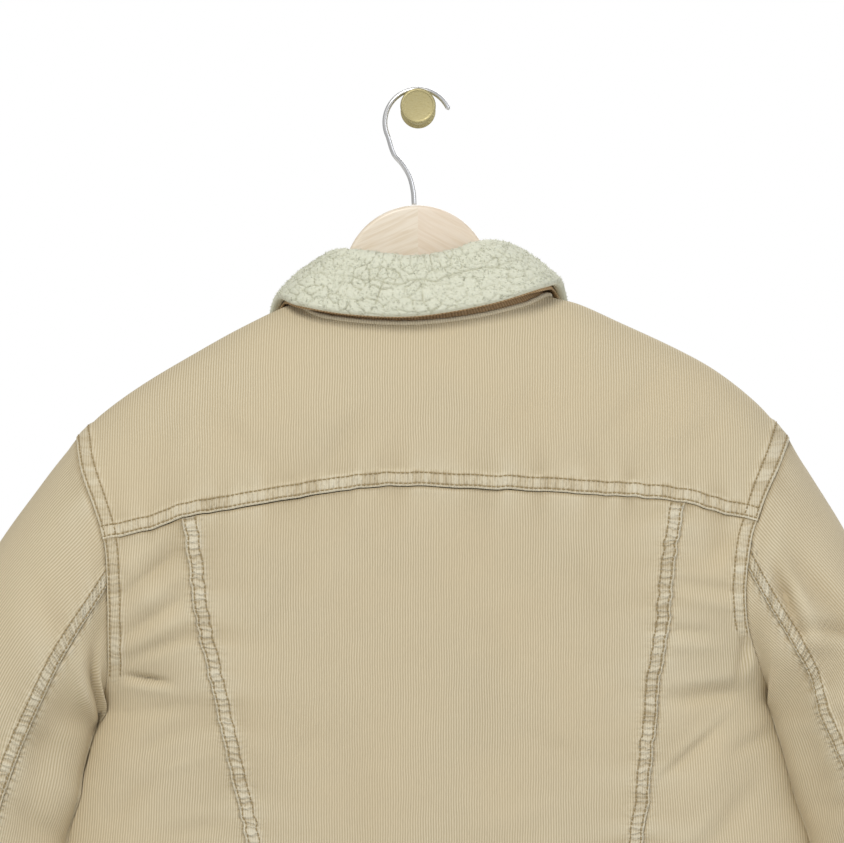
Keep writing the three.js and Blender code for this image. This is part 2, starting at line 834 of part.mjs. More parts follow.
// Unit normals of a grid of points from its neighbours, all on the side of `outward` in its middle row.
function gridNormals(points, outward) {
  const rows = points.length;
  const columns = points[0].length;
  const normals = points.map((line, r) =>
    line.map((_, c) => {
      const along = line[Math.min(c + 1, columns - 1)].clone().sub(line[Math.max(c - 1, 0)]);
      const down = points[Math.min(r + 1, rows - 1)][c].clone().sub(points[Math.max(r - 1, 0)][c]);
      return along.cross(down).normalize();
    }),
  );
  if (normals[Math.floor(rows / 2)][columns - 1].dot(outward) < 0) {
    normals.flat().forEach((n) => n.negate());
  }
  return normals;
}

function makeSleevePanel(side, part) {
  const loop = armholeLoop(side);
  const capRings = [0, 0.16, 0.36, 0.56, 0.78];
  const tubeRings = [1, 1.4, 2, 2.5, 3, 3.4, 3.8, 4.2, 4.7, 5.2, 5.7, 6.2, 6.6, 7];
  const rings = [...capRings, ...tubeRings];
  const radius = 58;
  const degree = (length) => THREE.MathUtils.radToDeg(length / radius);
  const seamSide = degree(seamGap / 2);
  const columns = part === "top" ? 13 : 9;
  const outer = [];
  const angles = [];
  for (const at of rings) {
    const backSeam = sleeveColumn[side].seam(at);
    const ends =
      part === "top"
        ? [backSeam - seamSide, frontSeamAngle - 360 + seamSide]
        : [backSeam + seamSide, frontSeamAngle - seamSide];
    const row = [...Array(columns).keys()].map((i) => mix(ends[0], ends[1], i / (columns - 1)));
    if (part === "top") {
      row[1] = ends[0] - degree(bandWide);
      row[2] = row[1] - degree(bandSlope);
      for (let i = 3; i < columns; i += 1) row[i] = mix(row[2], ends[1], (i - 2) / (columns - 3));
    }
    angles.push(row);
    outer.push(row.map((angle) => sleevePoint(side, loop, at, angle)));
  }
  const normals = angles.map((row, r) => row.map((angle) => sleeveNormal(side, loop, rings[r], angle)));
  normals[0] = normals[0].map((normal, c) => {
    const seam = loop(turned(angles[0][c]));
    const lean = outer[1][c].clone().sub(outer[0][c]).normalize();
    const valley = smooth(2 * seam.normal.dot(lean));
    return seam.normal.lerp(normal, valley).normalize();
  });
  const inner = outer.map((line, r) =>
    line.map((point, c) => point.clone().addScaledVector(normals[r][c], -sleeveWall)),
  );
  if (part === "top") {
    outer.forEach((line, r) => [0, 1].forEach((c) => line[c].addScaledVector(normals[r][c], bandRise)));
  }
  return wallSolid(outer, inner);
}

// Strip round the end of a sleeve that laps over its own start at the back seam.
function makeCuff(side) {
  const steps = 24;
  const lapTurn = 28;
  const start = sleeveColumn[side].seam(7);
  const section = sleeveSection(side, 7);
  const outer = [];
  const inner = [];
  for (const share of [0, 0.5, 1]) {
    const row = { outer: [], inner: [] };
    for (let i = 0; i <= steps; i += 1) {
      const turn = (i / steps) * (360 + lapTurn);
      const lap = (cuffWall + 2 * seamGap) * smooth((turn - 318) / 36);
      const place = (more) =>
        sleeveEllipse(side, 7, start - turn, more - 3 * share).addScaledVector(
          section.down,
          1.5 * seamGap + share * cuffDeep,
        );
      row.outer.push(place(bandRise + lap));
      row.inner.push(place(bandRise + lap - cuffWall));
    }
    outer.push(row.outer);
    inner.push(row.inner);
  }
  return wallSolid(outer, inner);
}

// Places across the folded collar: up the stand, over the fold and down the fall.
const collarPlaces = [0, 0.5, 1, 1.6, 2, 2.5, 3, 3.5, 4, 4.7, 5.4, 6];
function foldPoint(at) {
  return new THREE.Vector3(collarColumn.foldX(at), hangY + collarColumn.foldY(at), collarColumn.foldZ(at));
}

// Middle surface of the folded collar, one row for each of those places.
function collarMiddle() {
  const steps = 26;
  const standLift = { back: 5, front: 15 }; // in seam gaps, more where the neck edge runs steeply
  const lines = [...Array(steps + 1).keys()].map((i) => {
    const at = (i / steps) * lastCollarRow;
    const value = (name) => collarColumn[name](at);
    const onFront = at < sideRow.left || at > sideRow.right;
    const face = onFront ? "front" : "back";
    const body = bodyPoint(value("seamX"), value("seamZ"), face, -underCollarWall / 2);
    const fold = foldPoint(at);
    const edge = new THREE.Vector3(value("edgeX"), hangY + value("edgeY"), value("edgeZ"));
    const rise = fold.clone().sub(body).normalize();
    const forward = Math.max(0, sideRow.left - at, at - sideRow.right) / sideRow.left;
    const seam = body.clone().addScaledVector(rise, seamGap * mix(standLift.back, standLift.front, forward));
    const outward = foldPoint(at + 0.1).sub(foldPoint(at - 0.1)).cross(rise).normalize();
    const foldIn = fold.clone().addScaledVector(outward, -collarFold);
    const foldOut = fold.clone().addScaledVector(outward, collarFold);
    const points = [
      seam,
      seam.clone().lerp(foldIn, 0.5),
      foldIn,
      fold.clone().addScaledVector(rise, collarFold),
      foldOut,
      foldOut.clone().lerp(edge, 0.5).addScaledVector(outward, 2.5),
      edge,
    ].map((point, at) => ({ at, x: point.x, y: point.y, z: point.z }));
    const [alongX, alongY, alongZ] = ["x", "y", "z"].map((name) => lineThrough(points, "at", name));
    const spot = (place) => new THREE.Vector3(alongX(place), alongY(place), alongZ(place));
    return { outward, points: collarPlaces.map(spot) };
  });
  const grid = lines.map((line) => line.points);
  return { grid, normals: gridNormals(grid, lines[steps / 2].outward) };
}

function makeCollarLayer(near, far) {
  const { grid, normals } = collarMiddle();
  const offset = (distance) =>
    grid.map((line, r) => line.map((point, c) => point.clone().addScaledVector(normals[r][c], distance)));
  return wallSolid(offset(far), offset(near));
}

// Domed metal button with a rim, its back at the origin of its own +Y axis.
function buttonGeometry() {
  const profile = [
    [0, 0],
    [0.5 * buttonRadius, 0],
    [buttonRadius, 0.6],
    [buttonRadius, 2.4],
    [0.78 * buttonRadius, 3.2],
    [0.7 * buttonRadius, 2.5],
    [0, 2.9],
  ].map(([across, up]) => new THREE.Vector2(across, up));
  return new THREE.LatheGeometry(profile, 16);
}

function placeButton(mesh, base, normal) {
  mesh.quaternion.setFromUnitVectors(new THREE.Vector3(0, 1, 0), normal);
  mesh.position.copy(base).addScaledVector(normal, seamGap);
}

function makeHanger() {
  const domeCentre = { x: -0.7, z: -123.5 };
  const domeRadius = 52.8;
  const clear = bodyWall + 2.2;
  const armEnd = { left: -206, right: 222 };
  const armDeep = 32;
  const onShoulder = (x) => {
    const slope = (shoulderZ(x + 1) - shoulderZ(x - 1)) / 2;
    return new THREE.Vector2(x, shoulderZ(x) - clear * Math.hypot(1, slope));
  };
  const arm = (side) => {
    const sign = sideSign[side];
    const shares = [0, 0.2, 0.4, 0.6, 0.8, 1];
    return shares.map((share) => onShoulder(mix(sign * 112, armEnd[side], share)));
  };
  const dome = [...Array(11).keys()].map((i) => {
    const angle = THREE.MathUtils.degToRad(mix(168, 12, i / 10));
    const onDome = new THREE.Vector2(Math.cos(angle), Math.sin(angle)).multiplyScalar(domeRadius);
    return onDome.add(new THREE.Vector2(domeCentre.x, domeCentre.z));
  });
  const waist = (sign) => [
    new THREE.Vector2(sign * 56, -134),
    new THREE.Vector2(sign * 66, -146),
    new THREE.Vector2(sign * 88, -154),
  ];
  const under = (side) => {
    const end = onShoulder(armEnd[side]);
    const sign = sideSign[side];
    return [
      new THREE.Vector2(end.x + sign * 3, end.y - 8),
      new THREE.Vector2(end.x + sign * 1, end.y - 18),
      new THREE.Vector2(end.x - sign * 8, end.y - 22),
      new THREE.Vector2(mix(sign * 100, end.x, 0.5), mix(-178, end.y - armDeep, 0.5)),
    ];
  };
  const outline = [
    ...arm("left").reverse(),
    ...waist(-1).reverse(),
    ...dome,
    ...waist(1),
    ...arm("right"),
    ...under("right"),
    new THREE.Vector2(60, -176),
    new THREE.Vector2(0, -168),
    new THREE.Vector2(-60, -176),
    ...under("left").reverse(),
  ];
  const bevel = 2.5;
  const shape = new THREE.Shape(outline);
  const geometry = new THREE.ExtrudeGeometry(shape, {
    depth: hangerThick - 2 * bevel,
    bevelThickness: bevel,
    bevelSize: bevel,
    bevelOffset: -bevel,
    bevelSegments: 2,
  });
  geometry.rotateX(Math.PI / 2);
  geometry.translate(0, hangY + hangerThick / 2 - bevel, 0);
  return geometry;
}

function makeHook() {
  const centreZ = -11.4;
  const bend = pegShank + seamGap + hookWire / 2 - centreZ; // radius that rests the hook on the peg
  const arc = [...Array(13).keys()].map((i) => {
    const angle = THREE.MathUtils.degToRad(mix(205, 22, i / 12));
    return new THREE.Vector3(bend * Math.cos(angle), hangY, centreZ + bend * Math.sin(angle));
  });
  const stem = [
    [-2.8, -70.3],
    [-3.4, -62],
    [-6, -51],
    [-11.5, -41.5],
    [-18.5, -32.5],
  ].map(([x, z]) => new THREE.Vector3(x, hangY, z));
  const route = new THREE.CatmullRomCurve3([...stem, ...arc]);
  const sides = 8;
  const section = new THREE.Shape(
    [...Array(sides).keys()].map((i) => {
      const angle = (2 * Math.PI * i) / sides;
      return new THREE.Vector2((hookWire / 2) * Math.cos(angle), (hookWire / 2) * Math.sin(angle));
    }),
  );
  return new THREE.ExtrudeGeometry(section, { steps: 36, extrudePath: route });
}

function makePeg() {
  const head = hangY - hookWire / 2 - 3;
  const profile = [
    [0, 0],
    [pegRadius, 0],
    [pegRadius, -3.2],
    [pegShank, -4],
    [pegShank, head],
    [pegRadius - 0.8, head - 0.3],
    [pegRadius, head - 1],
    [pegRadius, head - 3.6],
    [pegRadius - 1, head - 4.4],
    [0, head - 4.4],
  ].map(([across, along]) => new THREE.Vector2(across, along));
  return new THREE.LatheGeometry(profile, 32);
}

// Merge of a geometry's shared points, turned outwards.
function closed(geometry) {
  const position = geometry.getAttribute("position");
  const order = geometry.index ? [...geometry.index.array] : [...Array(position.count).keys()];
  const seen = new Map();
  const points = [];
  const index = order.map((i) => {
    const point = new THREE.Vector3().fromBufferAttribute(position, i);
    const key = point.toArray().map((value) => Math.round(value * 1e4)).join();
    if (!seen.has(key)) {
      seen.set(key, points.length);
      points.push(point);
    }
    return seen.get(key);
  });
  const kept = [];
  for (let i = 0; i < index.length; i += 3) {
    const [a, b, c] = index.slice(i, i + 3);
    if (a !== b && b !== c && a !== c) kept.push(a, b, c);
  }
  return facingOut(points, kept);
}

const finishes = {
  corduroy: { color: 0xc8b692, roughness: 0.95 },
  corduroyShade: { color: 0xb9a680, roughness: 0.95 },
  sherpa: { color: 0xe3e1cf, roughness: 1 },
  wood: { color: 0xe2d3ba, roughness: 0.5 },
  chrome: { color: 0xc9ccd0, roughness: 0.18, metalness: 1 },
  brass: { color: 0xb9ad82, roughness: 0.4, metalness: 1 },
};
const materials = Object.fromEntries(
  Object.entries(finishes).map(([name, look]) => [name, new THREE.MeshStandardMaterial(look)]),
);

const jacket = new THREE.Group();
function add(name, geometry, finish) {
  const mesh = new THREE.Mesh(geometry, materials[finish]);
  mesh.name = name;
  jacket.add(mesh);
  return mesh;
}

add("back_yoke", makeBackYoke(), "corduroy");
add("back_centre", makeBackCentre(), "corduroy");
for (const side of ["left", "right"]) {
  add(`back_side_${side}`, makeBackSide(side), "corduroy");
  add(`front_${side}`, makeFront(side), "corduroy");
  add(`sleeve_top_${side}`, makeSleevePanel(side, "top"), "corduroy");
  add(`sleeve_under_${side}`, makeSleevePanel(side, "under"), "corduroyShade");
  add(`cuff_${side}`, makeCuff(side), "corduroy");
}
add("front_placket", makePlacket(), "corduroy");
add("waistband", makeWaistband(), "corduroy");
const underHalf = underCollarWall / 2;
add("collar_under", makeCollarLayer(-underHalf, underHalf), "corduroyShade");
add("collar_upper", makeCollarLayer(underHalf + collarGap, underHalf + collarGap + sherpaWall), "sherpa");

const placketButtons = 5;
for (let i = 0; i < placketButtons; i += 1) {
  const z = mix(-238, -712, i / (placketButtons - 1));
  const out = seamGap + placketWall;
  const mesh = add(`button_${i + 1}`, closed(buttonGeometry()), "brass");
  placeButton(mesh, bodyPoint(centreFrontAt(z), z, "front", out), bodyNormal(centreFrontAt(z), z, "front"));
}
const waistButtonZ = mix(waistTop, hemZ, 0.5);
const waistButtonX = centreFrontAt(waistTop);
const waistOut = bandRise + waistWall + 2 * seamGap;
placeButton(
  add("button_waistband", closed(buttonGeometry()), "brass"),
  bodyPoint(waistButtonX, waistButtonZ, "front", waistOut),
  bodyNormal(waistButtonX, waistButtonZ, "front"),
);
for (const side of ["left", "right"]) {
  const angle = sleeveColumn[side].seam(7) - 12;
  const section = sleeveSection(side, 7);
  const out = bandRise + cuffWall + 3 * seamGap - 1.5;
  const base = sleeveEllipse(side, 7, angle, out).addScaledVector(section.down, cuffDeep / 2);
  const a = THREE.MathUtils.degToRad(angle);
  const normal = section.outward
    .clone()
    .multiplyScalar(Math.cos(a) / section.wide)
    .add(new THREE.Vector3(0, -Math.sin(a) / section.deep, 0))
    .normalize();
  placeButton(add(`button_cuff_${side}`, closed(buttonGeometry()), "brass"), base, normal);
}
add("hanger_wood", closed(makeHanger()), "wood");
add("hanger_hook", closed(makeHook()), "chrome");
add("wall_peg", closed(makePeg()), "brass");

export default jacket;
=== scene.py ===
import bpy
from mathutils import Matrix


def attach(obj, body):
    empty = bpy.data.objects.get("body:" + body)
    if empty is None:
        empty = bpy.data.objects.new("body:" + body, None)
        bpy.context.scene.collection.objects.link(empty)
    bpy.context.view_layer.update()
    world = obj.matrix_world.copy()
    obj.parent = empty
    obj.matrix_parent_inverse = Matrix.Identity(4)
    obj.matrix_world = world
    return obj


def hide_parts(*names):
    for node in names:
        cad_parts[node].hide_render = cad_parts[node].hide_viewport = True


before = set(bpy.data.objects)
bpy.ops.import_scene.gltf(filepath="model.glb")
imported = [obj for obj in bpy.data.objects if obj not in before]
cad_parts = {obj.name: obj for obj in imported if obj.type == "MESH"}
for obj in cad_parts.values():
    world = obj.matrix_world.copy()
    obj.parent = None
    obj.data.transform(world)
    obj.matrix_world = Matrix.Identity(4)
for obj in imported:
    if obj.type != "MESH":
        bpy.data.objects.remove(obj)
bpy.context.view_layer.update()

import math
import bpy
import numpy as np
from mathutils import Vector

# Sherpa lined corduroy jacket on a wooden hanger, seen from its back. Sizes are millimetres until putMesh turns
# them to metres. +Z is up, the wall is y = 0, and "left" is negative x.

scene = bpy.context.scene
sideSign = {"left": -1, "right": 1}
faceSign = {"back": -1, "front": 1}

cut = {
    "hangY": -66, "seamGap": 0.3, "bodyWall": 6, "sleeveWall": 3, "bandRise": 1.2, "bandWide": 10,
    "tipZ": {"left": -237.5, "right": -238}, "shoulderReach": 160, "flankReach": 115, "yokeEnd": {"left": -309, "right": -296}, "waistTop": -771, "hemZ": -815,
    "centreX": 5, "centreLean": 8, "placketWide": 38, "placketWall": 3, "waistWall": 4,
    "cuffDeep": 55, "cuffWall": 3,
}


def curveThrough(rows):
    # smooth line through (place, value) pairs: cubic Hermite pieces, each slope taken from the two neighbours
    t, p = np.array(sorted(rows), float).T
    i = np.arange(len(t))
    before, after = np.maximum(i - 1, 0), np.minimum(i + 1, len(t) - 1)
    slope = (p[after] - p[before]) / (t[after] - t[before])

    def valueAt(at):
        at = np.asarray(at, float)
        k = np.clip(np.searchsorted(t, at, side="right") - 1, 0, len(t) - 2)
        span = t[k + 1] - t[k]
        s = (at - t[k]) / span
        rise = s * s * (3 - 2 * s)
        value = (p[k] * (1 - rise) + p[k + 1] * rise + span * slope[k] * s * (1 - s) ** 2
                 - span * slope[k + 1] * s * s * (1 - s))
        value = np.where(at <= t[0], p[0] + slope[0] * (at - t[0]), value)
        return np.where(at >= t[-1], p[-1] + slope[-1] * (at - t[-1]), value)
    return valueAt


def mix(a, b, t):
    return a + (b - a) * t


def smooth(s):
    s = np.clip(s, 0, 1)
    return s * s * (3 - 2 * s)


def lengthAlong(path):
    # running length at each point of a path
    return np.concatenate([[0], np.cumsum(np.linalg.norm(np.diff(path, axis=0), axis=1))])


def ringAround(centre, side, up, radius, turn):
    # points of a circle round each centre, in the plane of the two directions
    return centre[:, None] + radius * (side[:, None] * np.cos(turn)[None, :, None]
                                       + up[:, None] * np.sin(turn)[None, :, None])


def unit(v):
    return v / np.maximum(np.linalg.norm(v, axis=-1, keepdims=True), 1e-9)


def patchNoise(u, v, size, seed):
    # soft random hills: random heights on a square lattice, blended by a smooth step between its points
    heights = np.random.default_rng(seed).uniform(-1, 1, (64, 64))
    a, b = np.asarray(u) / size, np.asarray(v) / size
    a0, b0 = np.floor(a).astype(int), np.floor(b).astype(int)
    s, t = smooth(a - a0), smooth(b - b0)
    at = lambda i, j: heights[(a0 + i) & 63, (b0 + j) & 63]
    return mix(mix(at(0, 0), at(1, 0), s), mix(at(0, 1), at(1, 1), s), t)


def lineNoise(s, size, seed):
    # the same along one line only
    heights = np.random.default_rng(seed).uniform(-1, 1, 512)
    a = np.asarray(s) / size
    a0 = np.floor(a).astype(int)
    return mix(heights[a0 & 511], heights[(a0 + 1) & 511], smooth(a - a0))


def wavy(line, high, size, seed):
    # a seam drawn in by its thread: its line wanders a little to both sides
    return lambda at: line(at) + high * lineNoise(at, size, seed) + 0.5 * high * lineNoise(at, 2.6 * size, seed + 1)


shoulderZ = curveThrough([
    (-244, -237.5), (-226, -220), (-197, -199), (-155, -174), (-126, -158), (-90, -141), (-45, -126), (4, -121),
    (55, -124), (94, -136), (115, -141.5), (143, -154), (186, -174), (214, -189.8), (243, -213), (265.3, -238),
])
yokeZ = wavy(curveThrough([
    (-222, -309), (-189, -302), (-167, -294), (-132, -287), (-98, -281.5), (-30, -271.7), (21, -271.7),
    (101, -275.8), (165, -279.7), (189, -283), (212, -289.4), (227, -292.8), (239.5, -296),
]), 0.5, 7, 5)
armpit = {"left": (-226, -432), "right": (252, -426)}
armholeX = {
    "back": {
        "left": curveThrough([(-237.5, -244), (-257, -240.3), (-272, -235.3), (-287, -229.5), (-309, -222.7), (-346, -220),
                              (-405, -220.5), (-432, -226)]),
        "right": curveThrough([(-238, 265.3), (-257, 257), (-275, 248), (-294, 240.5), (-309, 236), (-346, 232), (-375, 235),
                               (-426, 252)]),
    },
    "front": {
        "left": curveThrough([(-237.5, -244), (-262, -230), (-300, -215), (-346, -206), (-390, -206),
                              (-418, -214), (-432, -226)]),
        "right": curveThrough([(-238, 265.3), (-262, 249), (-300, 233), (-346, 223), (-385, 226), (-412, 237),
                               (-426, 252)]),
    },
}
flankX = {
    "left": curveThrough([(-432, -226), (-456, -236), (-503, -248), (-525, -253), (-600, -266), (-680, -268),
                          (-740, -262), (-771, -256), (-815, -251)]),
    "right": curveThrough([(-426, 252), (-465, 264), (-494, 271), (-524, 282), (-600, 293), (-680, 294),
                           (-740, 287), (-771, 281), (-815, 276)]),
}
princessX = {
    "left": wavy(curveThrough([(-294, -167), (-346, -160), (-395, -151), (-437, -140.6), (-474, -132.8),
                               (-525, -120.7), (-771, -78)]), 0.9, 5.2, 6),
    "right": wavy(curveThrough([(-283, 189), (-325, 182), (-376, 177), (-403, 172), (-440, 168.3), (-524, 159.3),
                                (-771, 122)]), 0.9, 5.2, 8),
}
fullAt = {
    "back": curveThrough([(-840, 46), (-771, 51), (-640, 58), (-300, 56), (-100, 56)]),
    "front": curveThrough([(-840, 38), (-771, 42), (-640, 47), (-300, 46), (-100, 46)]),
}
# drape folds: x, z, direction in degrees from level, length, half width, height (troughs are negative)
bodyFolds = {
    "back": [
        (-197, -338, -52, 90, 11, 2.6), (-178, -352, -50, 100, 13, -2.4), (-196, -408, -4, 60, 9, -2.6),
        (213, -312, 40, 60, 15, -3.6), (196, -455, 47, 120, 13, -3), (214, -474, 50, 120, 15, 3),
        (238, -398, 30, 60, 9, 3.2), (212, -414, -8, 80, 10, -2.8), (-215, -560, 78, 190, 22, 5),
        (-182, -600, 84, 210, 24, -5), (236, -590, -80, 190, 24, 6), (206, -640, -86, 190, 24, -5),
        (-52, -236, 55, 80, 12, -2.5), (60, -640, 86, 220, 40, -3.5), (-30, -660, 94, 200, 36, 3),
        (-205, -742, 12, 110, 14, 5), (225, -738, -10, 120, 15, 5),
    ],
    "front": [
        (-180, -345, -48, 110, 13, -4), (196, -345, 50, 110, 13, -4), (-205, -560, 80, 190, 24, 5),
        (-160, -610, 86, 210, 26, -4), (232, -590, -80, 190, 24, 5), (180, -620, -86, 210, 26, -4),
        (-200, -742, 8, 120, 14, 4), (215, -740, -12, 120, 14, 4),
    ],
}
# small creases on top of the large folds, in the same columns
bodyCreases = {
    "back": [
        (-190, -316, 38, 72, 6, 3.2), (-187, -331, 38.5, 84, 4.5, -4.2), (-185, -347, 35, 92, 6, 3.0),
        (-184, -362, 32, 94, 5, -3.6), (-180, -373, 26, 90, 5, 2.4), (-182, -385, 22, 92, 4.5, -2.8),
        (-192, -408, -7, 46, 2.2, -5.6), (-190, -415, -6, 54, 4, 2.6), (-178, -428, 8, 70, 5, -2.0),
        (-184, -450, 26, 80, 6, -2.4), (-168, -468, 18, 74, 5, 2.0), (-200, -488, 44, 90, 7, -2.6),
        (-155, -512, 10, 70, 6, -2.0), (-206, -640, 30, 110, 8, -2.6), (-150, -700, 16, 90, 7, 2.2),
        (214, -316, 62, 36, 7, -3.0), (228, -310, 66, 40, 5, 2.6), (205, -342, -8, 84, 4.5, -2.4),
        (203, -353, -10, 84, 4.5, 2.2), (184, -373, -4, 66, 3.5, -2.6), (190, -384, -2, 70, 4.5, 2.2),
        (231, -392, 78, 54, 4.5, -4.6), (241, -384, 75, 60, 5, 4.0), (200, -408, 6, 84, 5.5, 2.6),
        (201, -420, 6, 86, 5.5, -3.8), (193, -459, 41, 96, 4, -3.6), (197, -451, 41, 96, 6, 2.4),
        (222, -505, 52, 96, 8, -2.6), (190, -520, 40, 90, 7, 2.2), (240, -452, 24, 64, 6, -2.8),
        (182, -690, -14, 90, 7, 2.2), (232, -660, -34, 110, 9, -2.6),
        (-52, -240, 52, 76, 7, -1.8), (-34, -250, 56, 70, 7, 1.3), (70, -222, 62, 80, 9, -1.4),
        (150, -215, 48, 90, 8, -1.6), (-128, -235, -46, 90, 8, -1.6), (196, -236, 40, 70, 8, -1.6),
        (-180, -240, 60, 70, 8, -1.6), (112, -255, 20, 70, 7, -1.2), (-60, -330, 70, 110, 12, 1.3),
        (48, -420, 82, 150, 13, -1.5), (-40, -500, 96, 150, 12, -1.5), (90, -560, 80, 160, 14, 1.6),
        (10, -700, 88, 130, 12, -1.8), (-100, -360, 60, 76, 8, -1.6), (120, -350, -64, 86, 9, -1.6),
        (96, -455, -30, 70, 8, -1.5), (-78, -452, 34, 66, 8, -1.4), (70, -505, 20, 90, 9, 1.2),
    ],
    "front": [
        (-180, -330, -40, 96, 6, -3.2), (-172, -352, -32, 90, 6, 2.8), (-186, -404, 6, 60, 3.4, -3.4),
        (190, -335, 40, 96, 6, -3.2), (184, -358, 30, 90, 6, 2.8), (200, -408, -6, 60, 3.4, -3.4),
        (-150, -470, -24, 90, 6, -2.4), (160, -480, 26, 90, 6, -2.4), (-120, -250, -58, 80, 8, -1.8),
        (130, -246, 56, 80, 8, -1.8), (-90, -560, 84, 150, 12, -1.8), (100, -590, -84, 150, 12, -1.8),
        (-60, -430, 70, 120, 11, 1.6), (70, -420, -72, 120, 11, 1.6), (-170, -690, 14, 90, 8, 2.4),
        (180, -700, -12, 90, 8, 2.4),
    ],
}


def roundOut(s):
    # 0 on an edge and 1 from one reach inwards, along a quarter circle
    return np.sqrt(np.clip(1 - (1 - np.clip(s, 0, 1)) ** 2, 0, 1))


def insideFlank(x, z, side):
    pitX, pitZ = armpit[side]
    above = np.maximum(0, z - pitZ)
    edge = np.where(above > 0, pitX, flankX[side](z))
    return (edge - x) * sideSign[side] + 0.9 * above ** 2 / (above + 30)


def ridges(x, z, rows):
    # sum of round ridges, each straight, fading towards its ends and across
    total = np.zeros(np.broadcast(x, z).shape)
    for foldX, foldZ, turn, long, wide, high in rows:
        c, s = math.cos(math.radians(turn)), math.sin(math.radians(turn))
        along = (x - foldX) * c + (z - foldZ) * s
        across = (z - foldZ) * c - (x - foldX) * s
        total = total + high * np.maximum(0, 1 - (2 * along / long) ** 2) ** 2 * np.exp(-(across / wide) ** 2)
    return total


def bodyDepth(x, z, face):
    # distance from the hanger's plane: full depth and folds, rounded in from the shoulder and both side edges
    below = roundOut((shoulderZ(x) - z) / cut["shoulderReach"])
    left = roundOut(insideFlank(x, z, "left") / cut["flankReach"])
    right = roundOut(insideFlank(x, z, "right") / cut["flankReach"])
    return (fullAt[face](z) + ridges(x, z, bodyFolds[face])) * below * left * right


def bodyNormal(x, z, face):
    step, nudge = 0.04, 0.1
    atZ = np.minimum(z, shoulderZ(x) - nudge)
    low = np.where(atZ > armpit["left"][1], -1e6, flankX["left"](atZ) + nudge)
    high = np.where(atZ > armpit["right"][1], 1e6, flankX["right"](atZ) - nudge)
    atX = np.clip(x, low, high)
    slopeX = (bodyDepth(atX + step, atZ, face) - bodyDepth(atX - step, atZ, face)) / (2 * step)
    slopeZ = (bodyDepth(atX, atZ + step, face) - bodyDepth(atX, atZ - step, face)) / (2 * step)
    level = np.where(bodyDepth(x, z, face) <= cut["seamGap"] / 2, 0.0, faceSign[face])
    return unit(np.stack([-slopeX, level, -slopeZ], axis=-1))


def bodyPoint(x, z, face, out=0.0):
    depth = np.maximum(bodyDepth(x, z, face), cut["seamGap"] / 2)
    surface = np.stack([x, cut["hangY"] + faceSign[face] * depth, z], axis=-1)
    return surface + bodyNormal(x, z, face) * np.asarray(out)[..., None]


def putMesh(name, points, faces, materials, uv=None, wearAndShade=None, slots=None, replaces=(), flat=None,
            seam=None, pucker=None):
    # points in mm, faces as arrays of corner numbers (one array for each corner count), slots one material
    # number for each array; the faces are turned outwards by the sign of the volume
    points = np.asarray(points, float) * 0.001
    volume = 0.0
    for group in faces:
        for k in range(1, group.shape[1] - 1):
            a, b, c = points[group[:, 0]], points[group[:, k]], points[group[:, k + 1]]
            volume += float((a * np.cross(b, c)).sum())
    if volume < 0:
        faces = [group[:, ::-1] for group in faces]
    corners = np.concatenate([group.ravel() for group in faces])
    sizes = np.concatenate([np.full(len(group), group.shape[1]) for group in faces])
    mesh = bpy.data.meshes.new(name)
    mesh.vertices.add(len(points))
    mesh.vertices.foreach_set("co", points.ravel())
    mesh.loops.add(len(corners))
    mesh.loops.foreach_set("vertex_index", corners.astype(np.int32))
    mesh.polygons.add(len(sizes))
    mesh.polygons.foreach_set("loop_start", np.concatenate([[0], np.cumsum(sizes)[:-1]]).astype(np.int32))
    mesh.polygons.foreach_set("use_smooth", np.ones(len(sizes), bool))
    if slots is not None:
        order = np.concatenate([np.full(len(group), s) for group, s in zip(faces, slots)])
        mesh.polygons.foreach_set("material_index", order.astype(np.int32))
    if uv is not None:
        layer = mesh.uv_layers.new(name="cloth")
        layer.data.foreach_set("uv", np.asarray(uv, float)[corners].ravel())
    if seam is not None:
        layer = mesh.uv_layers.new(name="seam")
        layer.data.foreach_set("uv", np.asarray(seam, float)[corners].ravel())
    # the first attribute is a colour value: rubbed wear where it is high, painted shade where it is low
    for title, values in (("wearAndShade", wearAndShade), ("pucker", pucker)):
        if values is not None:
            layer = mesh.attributes.new(title, "FLOAT", "POINT")
            layer.data.foreach_set("value", np.asarray(values, float).ravel())
    mesh.update(calc_edges=True)
    for material in materials:
        mesh.materials.append(material)
    piece = bpy.data.objects.new(name, mesh)
    scene.collection.objects.link(piece)
    if replaces:
        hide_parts(*replaces)
    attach(piece, "root")
    print(f"{name}: {sum(len(g) * (g.shape[1] - 2) for g in faces)} triangles")


def gridFaces(rows, columns, start=0, wrap=False):
    index = start + np.arange(rows * columns).reshape(rows, columns)
    if wrap:
        index = np.concatenate([index, index[:, :1]], axis=1)
    return np.stack([index[:-1, :-1], index[:-1, 1:], index[1:, 1:], index[1:, :-1]], axis=-1).reshape(-1, 4)


